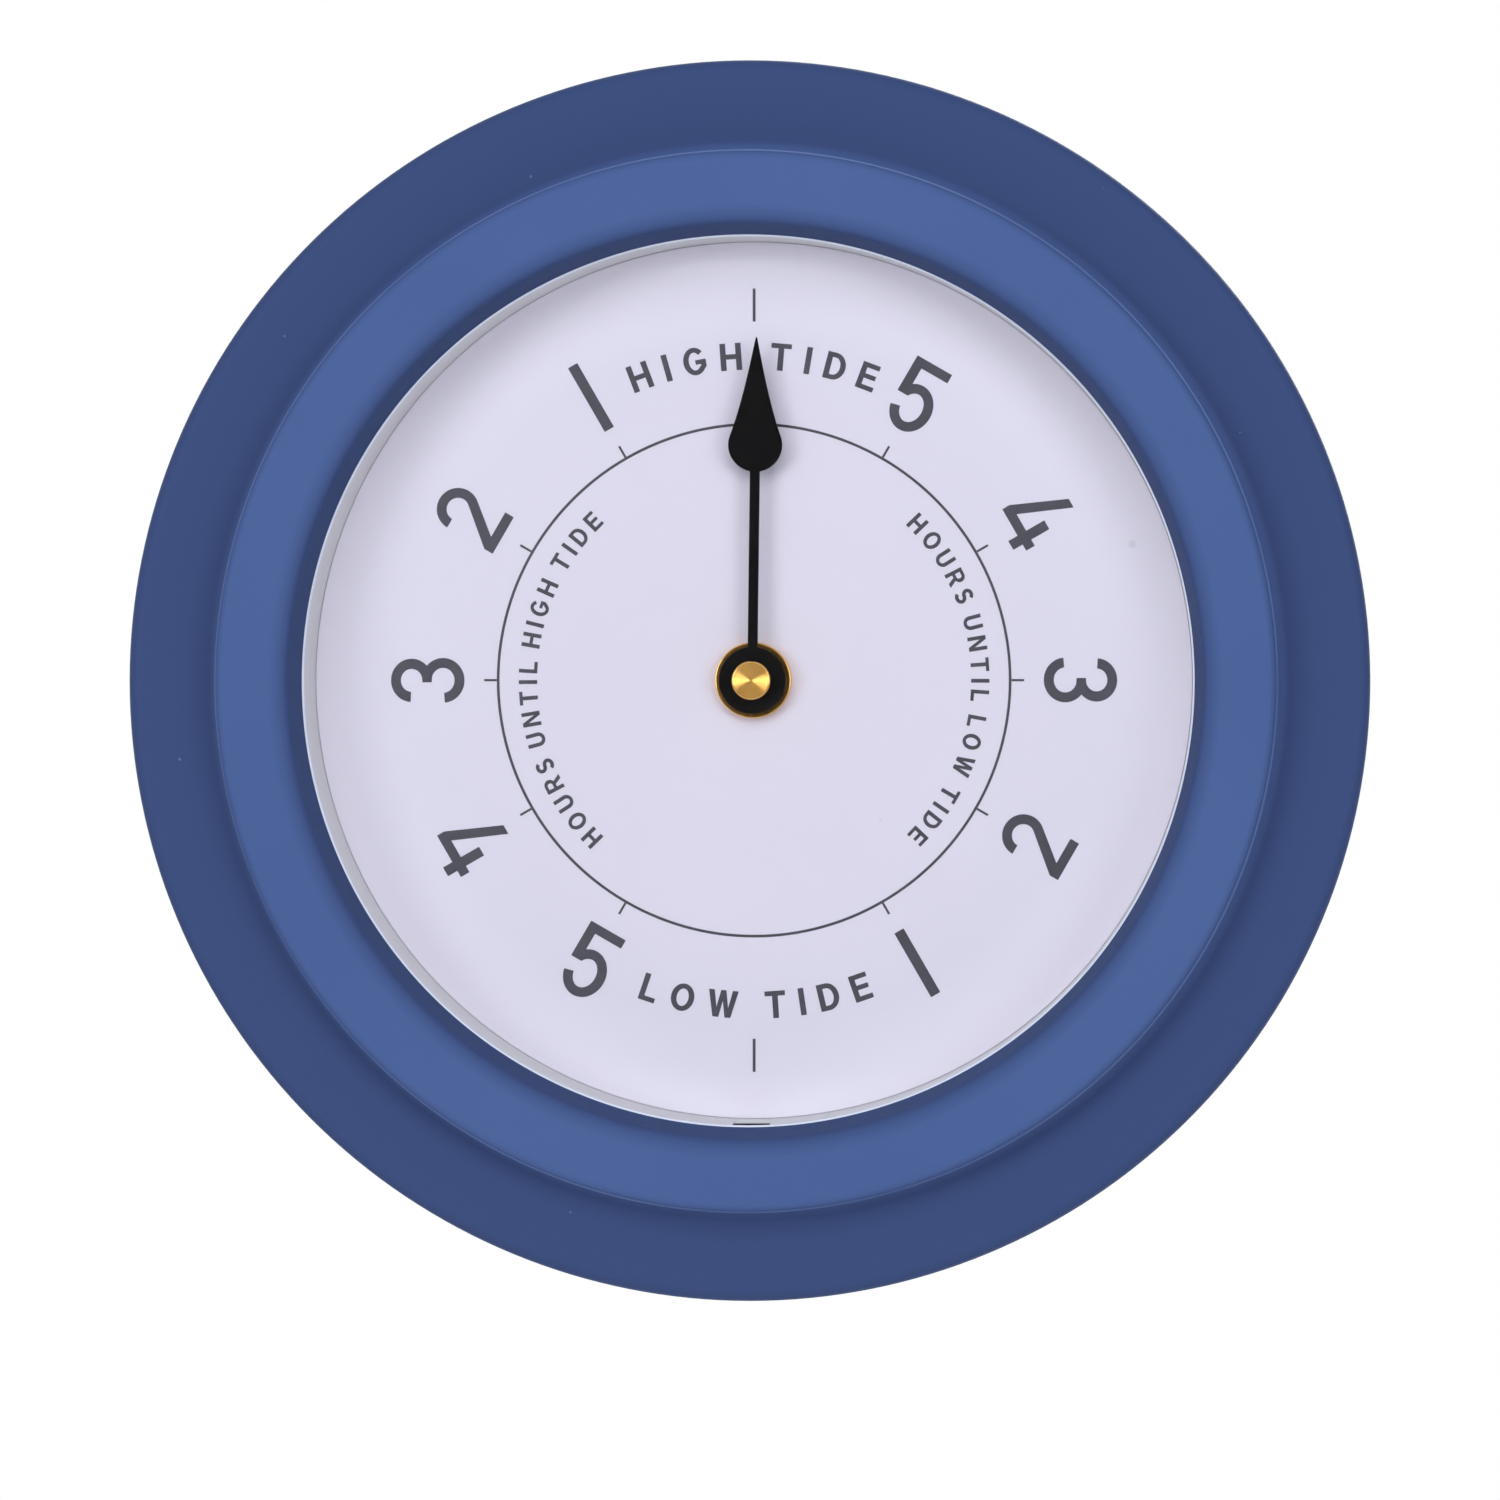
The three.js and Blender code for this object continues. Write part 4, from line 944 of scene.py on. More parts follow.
@dataclass
class Pan:
    """White moulded pan behind the glass, with a near-black block in its latch slot as painted shade."""

    foot: float = 96.6
    draft: float = 0.6
    wall: float = 2.0
    floor: float = 2.0
    fillet: float = 0.4
    corner: float = 0.15
    hole: float = 4.3
    dial_gap: float = 0.1
    rim_inner: float = 102.3
    upstand: float = 1.6
    flange_front: float = 32.2
    flange: float = 2.2
    seat_gap: float = 0.1
    ribs: int = 8
    rib_thick: float = 1.6
    rib_start: float = 44.8
    rib_end: float = 0.5  # inside the wall's foot
    rib_height: float = 5.0
    boss_radius: float = 4.2
    boss_circle: float = 108.0
    pilot: float = 1.6
    pilot_depth: float = 13.0
    stud_circle: float = 121.0
    stud_hole: float = 2.3
    slot: tuple[float, float, float, float] = (8.2, 3.2, 3.5, 3.5)  # width, height, depth, gap in front of it
    panel: tuple[float, float, float, float] = (8.2, 2.4, 0.9, 0.6)  # the same, behind the slot
    slot_corner: float = 0.3
    shade_block_sink: float = 0.43  # block face below the wall's foot
    shade_block_play: float = 0.05
    shade_block_corner: float = 0.25
    shade_block_bevel: float = 0.1
    steps: int = 160

    def build(self, palette: Palette) -> None:
        """Models the pan: a spun shell with ribs and bosses, then its holes, slot and panel cut.

        Args:
            palette: The clock's finishes.
        """
        rear = depths("dial_sheet")[0] - self.dial_gap - self.floor
        seat = depths("glass_lens")[0] - self.seat_gap
        pan = turned("pan_shell", held(self.profile(rear, seat), BROAD), self.steps)
        merged(pan, self.stiffeners(rear), "UNION")
        merged(pan, self.openings(seat), "DIFFERENCE")
        dress(pan, palette.white, "case", "dial_pan")
        # Painted shade: the slot's shadow as a near-black block.
        dress(self.shade_block(seat), palette.slot_shade, "case")

    def profile(self, rear: float, seat: float) -> list[Pair]:
        """(radius, depth) loop of the shell.

        Args:
            rear: Depth of the floor's rear face in mm.
            seat: Depth of the glass seat in mm.

        Returns:
            (radius, depth) points in mm.
        """
        outer = radius_of("dial_pan")
        top = self.foot + self.draft
        front = rear + self.floor
        glass = depths("glass_lens")[1]
        f = self.fillet
        loop = [
            (self.hole, rear),
            (self.foot + self.wall, rear),
            (top + self.wall, self.flange_front - self.flange),
            (outer - f, self.flange_front - self.flange),
            *arc((outer - f, self.flange_front - self.flange / 2), f, -90, 90, 4),
            (self.rim_inner + self.upstand, self.flange_front),
            (self.rim_inner + self.upstand, glass),
            (self.rim_inner, glass),
            (self.rim_inner, seat),
            *arc((top + f, seat - f), f, 90, 180, 5),
            *arc((self.foot - self.corner, front + self.corner), self.corner, 0, -90, 4),
            (self.hole, front),
        ]
        return [*loop, loop[0]]

    def stiffeners(self, rear: float) -> bpy.types.Object:
        """Ribs on the back of the floor and bosses for the cover screws, as one object.

        Args:
            rear: Depth of the floor's rear face in mm.

        Returns:
            The joined solids.
        """
        parts = []
        half, inner = self.rib_thick / 2, self.foot - self.rib_end
        outline = [(self.rib_start, -half), (inner, -half), (inner, half), (self.rib_start, half)]
        for i in range(self.ribs):
            rib = swung(outline, -(i + 0.5) * 360 / self.ribs)
            parts.append(slab("rib", rib, rear - self.rib_height, rear + self.floor / 2))
        back = depths("dial_pan")[0]
        front = self.flange_front - self.flange / 2
        for i in range(4):
            parts.append(rod("boss", self.boss_radius, back, front, polar(self.boss_circle, 45 + 90 * i), 32))
        return joined("stiffeners", *parts)

    def openings(self, seat: float) -> bpy.types.Object:
        """Cutters for the pilot holes, stud holes, slot and panel, as one object.

        Args:
            seat: Depth of the glass seat in mm.

        Returns:
            The joined cutters.
        """
        back = depths("dial_pan")[0]
        cutters = []
        for i in range(4):
            pilot_at, stud_at = polar(self.boss_circle, 45 + 90 * i), polar(self.stud_circle, 90 * i)
            cutters.append(rod("pilot", self.pilot, back - PAST, back + self.pilot_depth, pilot_at))
            low, high = self.flange_front - self.flange - PAST, self.flange_front + PAST
            cutters.append(rod("stud_hole", self.stud_hole, low, high, stud_at))
        front = seat
        for width, height, depth, gap in (self.slot, self.panel):
            front -= gap
            at = (0, -self.foot - depth / 2 + PAST)
            outline = rounded(width, depth + 2 * PAST, self.slot_corner, at, 4)
            cutters.append(slab("recess", outline, front - height, front))
            front -= height
        return joined("openings", *cutters)

    def shade_block(self, seat: float) -> bpy.types.Object:
        """Near-black block that fills the slot and lies a little below the wall, painted shade in place of
        the slot's shadow.

        Args:
            seat: Depth of the glass seat in mm.

        Returns:
            The pad.
        """
        width, height, depth, gap = self.slot
        thick = depth - self.shade_block_sink - self.shade_block_play
        at = (0, -self.foot - self.shade_block_sink - thick / 2)
        front = seat - gap - self.shade_block_play
        outline = rounded(width - 2 * self.shade_block_play, thick, self.shade_block_corner, at, 4)
        rear = front - height + 2 * self.shade_block_play
        return bevelled(slab("slot_shade_block", outline, rear, front), self.shade_block_bevel)


class Glyph(Enum):
    """Plain figures and capitals, drawn one unit tall over the origin."""

    ONE = "1"
    TWO = "2"
    THREE = "3"
    FOUR = "4"
    FIVE = "5"
    D = "D"
    E = "E"
    G = "G"
    H = "H"
    I = "I"
    L = "L"
    N = "N"
    O = "O"
    R = "R"
    S = "S"
    T = "T"
    U = "U"
    W = "W"

    @staticmethod
    def bow(at: Pair, size: Pair, start: float, stop: float) -> list[Pair]:
        """Arc of an ellipse, angles in degrees."""
        return [(at[0] + size[0] * x, at[1] + size[1] * y) for x, y in arc((0, 0), 1, start, stop, 28)]

    @staticmethod
    def ribbon(spine: Sequence[Pair], half: float) -> list[Pair]:
        """Outline of a stroke of even width along a line of points.

        Args:
            spine: Points of the line.
            half: Half the stroke's width.

        Returns:
            The outline.
        """
        left, right = [], []
        for i, (x, y) in enumerate(spine):
            a, b = spine[max(i - 1, 0)], spine[min(i + 1, len(spine) - 1)]
            run = math.dist(a, b)
            nx, ny = (a[1] - b[1]) / run * half, (b[0] - a[0]) / run * half
            left.append((x + nx, y + ny))
            right.append((x - nx, y - ny))
        return [*left, *reversed(right)]

    def loops(self) -> list[list[Pair]]:
        """Outline of the glyph, followed by its holes.

        Returns:
            The loops, in glyph heights.
        """
        bow = self.bow
        if self.value in STRAIGHT:
            return [STRAIGHT[self.value]]
        if self is Glyph.O:
            return [bow((0, 0.5), (0.43, 0.51), 0, 360)[:-1], bow((0, 0.5), (0.22, 0.325), 0, 360)[:-1]]
        if self is Glyph.D:
            hole = [(-0.17, 0.18), *bow((-0.05, 0.5), (0.225, 0.32), -90, 90), (-0.17, 0.82)]
            return [[(-0.38, 0), *bow((-0.05, 0.5), (0.43, 0.5), -90, 90), (-0.38, 1)], hole]
        if self is Glyph.R:
            hole = [(-0.165, 0.55), *bow((0.05, 0.69), (0.105, 0.14), -90, 90), (-0.165, 0.83)]
            leg = [(-0.37, 0), (-0.165, 0), (-0.165, 0.375), (-0.02, 0.375), (0.17, 0), (0.41, 0)]
            return [[*leg, *bow((0.05, 0.695), (0.315, 0.305), -66, 90), (-0.37, 1)], hole]
        if self is Glyph.U:
            inner, outer = bow((0, 0.36), (0.175, 0.19), 360, 180), bow((0, 0.36), (0.38, 0.37), 180, 360)
            return [[(-0.38, 1), *outer, (0.38, 1), (0.175, 1), *inner, (-0.175, 1)]]
        if self is Glyph.S:
            spine = bow((0, 0.706), (0.235, 0.204), 30, 270) + bow((0, 0.296), (0.25, 0.206), 90, -150)[1:]
            return [self.ribbon(spine, 0.098)]
        if self is Glyph.G:
            bar = [(0.41, 0.26), (0.41, 0.54), (0.02, 0.54), (0.02, 0.375), (0.215, 0.375), (0.215, 0.31)]
            inner = bow((0, 0.5), (0.215, 0.33), 322, 40)
            return [[*bow((0, 0.5), (0.42, 0.51), 40, 325), *bar, *inner]]
        return [self.figure()]

    def figure(self) -> list[Pair]:
        """Outline of a figure with bows.

        Returns:
            The loop, in glyph heights.
        """
        bow = self.bow
        if self is Glyph.TWO:
            top = (0, 0.714)
            outer, inner = bow(top, (0.29, 0.286), 180, -33), bow(top, (0.155, 0.152), -33, 180)
            return [*outer, (-0.1, 0.134), (0.284, 0.134), (0.284, 0), (-0.29, 0), (-0.29, 0.13), *inner]
        if self is Glyph.THREE:
            high, low = (-0.003, 0.719), (-0.003, 0.292)
            outer = bow(high, (0.295, 0.281), 177, -48) + bow(low, (0.305, 0.292), 46, -175)
            inner = bow(low, (0.17, 0.156), -175, 73) + [(-0.03, 0.447), (-0.03, 0.573)]
            return [*outer, *inner, *bow(high, (0.156, 0.146), -73, 177)]
        bowl = (0, 0.338)
        inner, outer = bow(bowl, (0.152, 0.206), 145, -166), bow(bowl, (0.288, 0.338), -166, 121)
        start = [(0.258, 1), (-0.283, 1), (-0.286, 0.456), (-0.16, 0.456)]
        return [*start, *inner, *outer, (-0.148, 0.87), (0.258, 0.87)]


STRAIGHT: dict[str, list[Pair]] = {
    "1": [(-0.072, 0), (0.072, 0), (0.072, 1), (-0.072, 1)],
    "4": [
        (0.003, 1), (0.139, 1), (-0.17, 0.281), (0.09, 0.281), (0.09, 0.566), (0.229, 0.566), (0.229, 0.281),
        (0.326, 0.281), (0.326, 0.146), (0.229, 0.146), (0.229, 0), (0.09, 0), (0.09, 0.146), (-0.326, 0.146),
        (-0.326, 0.26),
    ],
    "E": [
        (-0.34, 0), (0.34, 0), (0.34, 0.18), (-0.135, 0.18), (-0.135, 0.42), (0.29, 0.42), (0.29, 0.595),
        (-0.135, 0.595), (-0.135, 0.82), (0.325, 0.82), (0.325, 1), (-0.34, 1),
    ],
    "H": [
        (-0.39, 0), (-0.18, 0), (-0.18, 0.41), (0.18, 0.41), (0.18, 0), (0.39, 0), (0.39, 1), (0.18, 1),
        (0.18, 0.595), (-0.18, 0.595), (-0.18, 1), (-0.39, 1),
    ],
    "I": [(-0.105, 0), (0.105, 0), (0.105, 1), (-0.105, 1)],
    "L": [(-0.31, 0), (0.31, 0), (0.31, 0.18), (-0.105, 0.18), (-0.105, 1), (-0.31, 1)],
    "N": [
        (-0.39, 0), (-0.19, 0), (-0.19, 0.66), (0.175, 0), (0.39, 0), (0.39, 1), (0.19, 1), (0.19, 0.34),
        (-0.175, 1), (-0.39, 1),
    ],
    "T": [
        (-0.105, 0), (0.105, 0), (0.105, 0.82), (0.375, 0.82), (0.375, 1), (-0.375, 1), (-0.375, 0.82),
        (-0.105, 0.82),
    ],
    "W": [
        (-0.55, 1), (-0.335, 1), (-0.215, 0.36), (-0.095, 1), (0.095, 1), (0.215, 0.36), (0.335, 1),
        (0.55, 1), (0.33, 0), (0.115, 0), (0, 0.6), (-0.115, 0), (-0.33, 0),
    ],
}


@dataclass
class Printer:
    """Thin glyphs: each one modelled once, lying on the XY plane, and copied to its places."""

    front: float
    ink: float
    master_height: float = 10.0
    masters: dict[str, bpy.types.Object] = field(default_factory=dict)

    def plate(self, loop: Sequence[Pair], low: float, high: float) -> bpy.types.Object:
        """Solid of one loop between two heights in mm, lying on the XY plane.

        Args:
            loop: Corners in glyph heights.
            low: Height of its lower face.
            high: Height of its upper face.

        Returns:
            The new solid.
        """
        size = self.master_height
        corners = [Vector((x * size, y * size, low)) * MM for x, y in loop]
        return filled("plate", corners, Vector((0, 0, high - low)) * MM)

    def master(self, mark: str) -> bpy.types.Object:
        """Master of a glyph, modelled at its first use.

        Args:
            mark: The figure or capital.

        Returns:
            The master.
        """
        if mark not in self.masters:
            outline, *holes = Glyph(mark).loops()
            plate = self.plate(outline, -self.ink / 2, self.ink)
            for hole in holes:
                merged(plate, self.plate(hole, -PAST, PAST), "DIFFERENCE")
            self.masters[mark] = plate
        return self.masters[mark]

    def width(self, mark: str, cap: float) -> float:
        """Width in mm of a glyph at a cap height."""
        return self.master(mark).dimensions.x / MM * cap / self.master_height

    def put(self, mark: str, cap: float, base: float, angle: float, inward: bool) -> bpy.types.Object:
        """Copies a glyph to its place on the dial.

        Args:
            mark: The figure or capital.
            cap: Its height in mm.
            base: Radius of its foot in mm.
            angle: Clock angle of its middle in degrees.
            inward: Whether its top points to the hand axis.

        Returns:
            The copy, its place applied.
        """
        pick(self.master(mark))
        bpy.ops.object.duplicate()
        glyph = named("glyph")
        scale = cap / self.master_height
        x, h = polar(base, angle)
        glyph.scale = (scale, scale, 1)
        glyph.rotation_euler = (math.pi / 2, math.radians(angle + (180 if inward else 0)), 0)
        glyph.location = spot(x, self.front, h)
        bpy.ops.object.transform_apply()
        return glyph

    def arc_text(
        self, words: str, cap: float, base: float, start: float, stop: float
    ) -> list[bpy.types.Object]:
        """Spreads a legend evenly between two clock angles.

        Args:
            words: The legend.
            cap: Cap height in mm.
            base: Radius of the baseline in mm.
            start: Clock angle where it begins.
            stop: Clock angle where it ends; smaller than the start for letters whose tops point inward.

        Returns:
            The letters, set down.
        """
        inward = stop < start
        turn = math.degrees(1 / (base - cap / 2 if inward else base + cap / 2))
        widths = [0.0 if mark == " " else self.width(mark, cap) * turn for mark in words]
        gap = (abs(stop - start) - sum(widths)) / (len(words) - 1)
        way = -1 if inward else 1
        at, placed = start, []
        for mark, width in zip(words, widths):
            if mark != " ":
                placed.append(self.put(mark, cap, base, at + way * width / 2, inward))
            at += way * (width + gap)
        return placed

    def close(self) -> None:
        """Removes the masters."""
        for plate in self.masters.values():
            bpy.data.objects.remove(plate)
        self.masters.clear()


@dataclass
class Dial:
    """Printed dial: ground, track, numerals and legends."""

    track: float = 56.4
    line: float = 0.6
    tick_gap: float = 0.02
    tick_outer: float = 59.5
    tick_line: float = 0.5
    mark: Pair = (79.0, 86.3)  # radii of the long marks' ends
    mark_line: float = 0.62
    numeral_radius: float = 71.9
    numeral: float = 16.2
    lower: Pair = (105, 255)  # clock angles between which numerals stand with their tops inward
    texts: tuple[tuple[str, float, float, float, float], ...] = (
        ("HIGH TIDE", 6.0, 68.4, -22.5, 22.2),
        ("LOW TIDE", 6.0, 74.6, 200.2, 159.2),
        ("HOURS UNTIL HIGH TIDE", 4.05, 47.8, 224.0, 316.2),
        ("HOURS UNTIL LOW TIDE", 4.05, 47.8, 44.4, 135.2),
    )  # words, cap height, radius of the baseline, first and last clock angle
    ink: float = 0.04
    hole: float = 4.3
    edge: float = 0.1
    reach: float = 0.24  # printed edge past the sheet, up to the pan wall
    track_steps: int = 180
    steps: int = 160

    def build(self, palette: Palette) -> None:
        """Models the dial sheet and its print as thin solids on it.

        Args:
            palette: The clock's finishes.
        """
        rear, front = depths("dial_sheet")
        outer = radius_of("dial_sheet") + self.reach
        rim = [(outer, rear), (outer, front - self.edge), (outer - self.edge, front)]
        loop = [(self.hole, rear), *rim, (self.hole, front), (self.hole, rear)]
        dress(turned("dial_face", held(loop, BROAD), self.steps), palette.dial, "case", "dial_sheet")
        printer = Printer(front, self.ink)
        for part in (self.lines(front), self.numerals(printer), self.legends(printer)):
            dress(part, palette.ink, "case")
        printer.close()

    def lines(self, front: float) -> bpy.types.Object:
        """The track circle with its ticks, and the two long marks.

        Args:
            front: Depth of the dial's front in mm.

        Returns:
            The joined lines.
        """
        low, high = front - self.ink / 2, front + self.ink
        inner, outer = self.track - self.line / 2, self.track + self.line / 2
        loop = [(inner, low), (outer, low), (outer, high), (inner, high), (inner, low)]
        parts = [turned("track", loop, self.track_steps)]
        tick = (outer + self.tick_gap, self.tick_outer)
        parts += [self.stroke(angle, tick, self.tick_line, low, high) for angle in HOURS]
        parts += [self.stroke(angle, self.mark, self.mark_line, low, high) for angle in (0, 180)]
        return joined("dial_track", *parts)

    def stroke(self, angle: float, ends: Pair, width: float, low: float, high: float) -> bpy.types.Object:
        """A radial stroke at a clock angle between two radii and two depths.

        Args:
            angle: Clock angle in degrees.
            ends: Radii of its ends in mm.
            width: Its width in mm.
            low: Depth of its rear in mm.
            high: Depth of its front in mm.

        Returns:
            The stroke.
        """
        side = polar(width / 2, angle + 90)
        a, b = (polar(end, angle) for end in ends)
        outline = [
            (a[0] + side[0], a[1] + side[1]),
            (b[0] + side[0], b[1] + side[1]),
            (b[0] - side[0], b[1] - side[1]),
            (a[0] - side[0], a[1] - side[1]),
        ]
        return slab("stroke", outline, low, high)

    def numerals(self, printer: Printer) -> bpy.types.Object:
        """Hours left to the next tide, 5 to 1 on both sides.

        Args:
            printer: Printer of the glyphs.

        Returns:
            The joined numerals.
        """
        parts = []
        for angle, mark in zip(HOURS, "5432154321"):
            inward = self.lower[0] < angle < self.lower[1]
            base = self.numeral_radius + (self.numeral / 2 if inward else -self.numeral / 2)
            parts.append(printer.put(mark, self.numeral, base, angle, inward))
        return joined("dial_numerals", *parts)

    def legends(self, printer: Printer) -> bpy.types.Object:
        """The four plain legends on their arcs."""
        return joined("dial_legends", *(mark for text in self.texts for mark in printer.arc_text(*text)))


@dataclass
class TideHand:
    """Hand with its bush, and the brass fittings at its root."""

    length: float = 75.2
    boss: float = 7.3
    stem: float = 2.13
    bulb: float = 5.9
    bulb_at: float = 51.6
    hollow: float = 0.45  # flank inside the straight line from bulb to tip
    hollow_skew: float = 0.8  # below 1, the deepest point lies nearer the bulb
    flank_steps: int = 12
    tip: float = 0.12  # half width of the blunt tip
    bevel: float = 0.16
    rest: float = 0.7
    hole: float = 2.7
    hub: float = 2.6
    hub_edge: float = 0.15
    bore: float = 1.65
    nut_bore: float = 4.3
    nut_radius: float = 8.35
    nut_edge: float = 0.28
    cap_wall: float = 0.95
    cap_chamfer: float = 0.2
    cap_round: float = 0.55
    cap_face: float = 0.6  # from the outside to the turned face
    groove: float = 0.36
    groove_depth: float = 0.08
    groove_points: int = 4
    hold: float = 0.05  # reach of the rings' holding points
    steps: int = 96

    def outline(self) -> list[Pair]:
        """Outline of the hand, turned to its rest angle.

        Returns:
            (x, height) points in mm.
        """
        half = self.stem / 2
        foot = math.degrees(math.asin(half / self.boss))
        neck = math.degrees(math.asin(half / self.bulb))
        side = math.degrees(math.asin(self.bulb / (self.length - self.bulb_at)))
        points = arc((0, 0), self.boss, 90 + foot, 450 - foot, 56)
        bulb = arc((0, self.bulb_at), self.bulb, -90 + neck, side, 24)
        points += bulb
        flank = self.flank(bulb[-1])
        points += [*flank, *((-x, h) for x, h in reversed(flank)), *((-x, h) for x, h in reversed(bulb))]
        return swung(points, self.rest)

    def flank(self, foot: Pair) -> list[Pair]:
        """Slightly hollow right flank from the bulb to the blunt tip.

        Args:
            foot: Point where the bulb ends.

        Returns:
            (x, height) points up to the tip.
        """
        points = []
        for i in range(1, self.flank_steps + 1):
            t = i / self.flank_steps
            dent = self.hollow * math.sin(math.pi * t**self.hollow_skew)
            points.append((foot[0] + (self.tip - foot[0]) * t - dent, foot[1] + (self.length - foot[1]) * t))
        return points

    def build(self, palette: Palette) -> None:
        """Models the hand, its bush, the cap nut and the dial nut.

        Args:
            palette: The clock's finishes.
        """
        rear, front = depths("tide_hand")
        blade = slab("hand_blade", self.outline(), rear, front)
        merged(blade, rod("hole", self.hole, rear - PAST, front + PAST, (0, 0), 48), "DIFFERENCE")
        bevelled(blade, self.bevel)
        dress(blade, palette.hand, "hand", "tide_hand", smooth=30)
        bush = self.ring("hand_bush", "hand_hub", self.bore, self.hub, self.hub_edge)
        dress(bush, palette.brass, "hand", "hand_hub")
        nut = self.ring("ring_nut", "dial_nut", self.nut_bore, self.nut_radius, self.nut_edge)
        dress(nut, palette.brass, "case", "dial_nut")
        self.cap(palette)

    def ring(self, name: str, node: str, inner: float, outer: float, edge_round: float) -> bpy.types.Object:
        """Turned ring with a rounded front edge, at the depth of a CAD node.

        Args:
            name: Name of the new object.
            node: CAD node that gives its depth.
            inner: Radius of its bore in mm.
            outer: Outer radius in mm.
            edge_round: Radius of its front edge in mm.

        Returns:
            The ring.
        """
        rear, front = depths(node)
        edge = arc((outer - edge_round, front - edge_round), edge_round, 0, 90, 6)
        loop = [(inner, rear), (outer, rear), *edge, (inner, front), (inner, rear)]
        return turned(name, held(loop, self.hold), self.steps)

    def cap(self, palette: Palette) -> None:
        """Models the closed cap nut with its turned face.

        Args:
            palette: The clock's finishes.
        """
        rear, front = depths("cap_nut")
        radius = radius_of("cap_nut")
        blind = front - self.cap_wall
        around = (radius - self.cap_round, front - self.cap_round)
        loop = [
            (0, blind),
            (self.bore, blind),
            (self.bore, rear),
            (radius - self.cap_chamfer, rear),
            (radius, rear + self.cap_chamfer),
            (radius, front - self.cap_face),
            *arc(around, self.cap_round, 0, 80, 6),
            *self.grooves(radius - self.cap_face, front),
            (0, front - self.groove_depth / 2),
        ]
        dress(turned("cap_nut_turned", loop, self.steps), palette.brass, "hand", "cap_nut", smooth=60)

    def grooves(self, outer: float, front: float) -> list[Pair]:
        """Fine turned grooves of a face, from its edge to its middle.

        Args:
            outer: Radius of the face in mm.
            front: Its depth in mm.

        Returns:
            (radius, depth) points in mm.
        """
        points, each = [], self.groove_points
        for i in range(int(outer / self.groove * each)):
            wave = (1 - math.cos(2 * math.pi * i / each)) / 2
            points.append((outer - i * self.groove / each, front - self.groove_depth * wave))
        return points


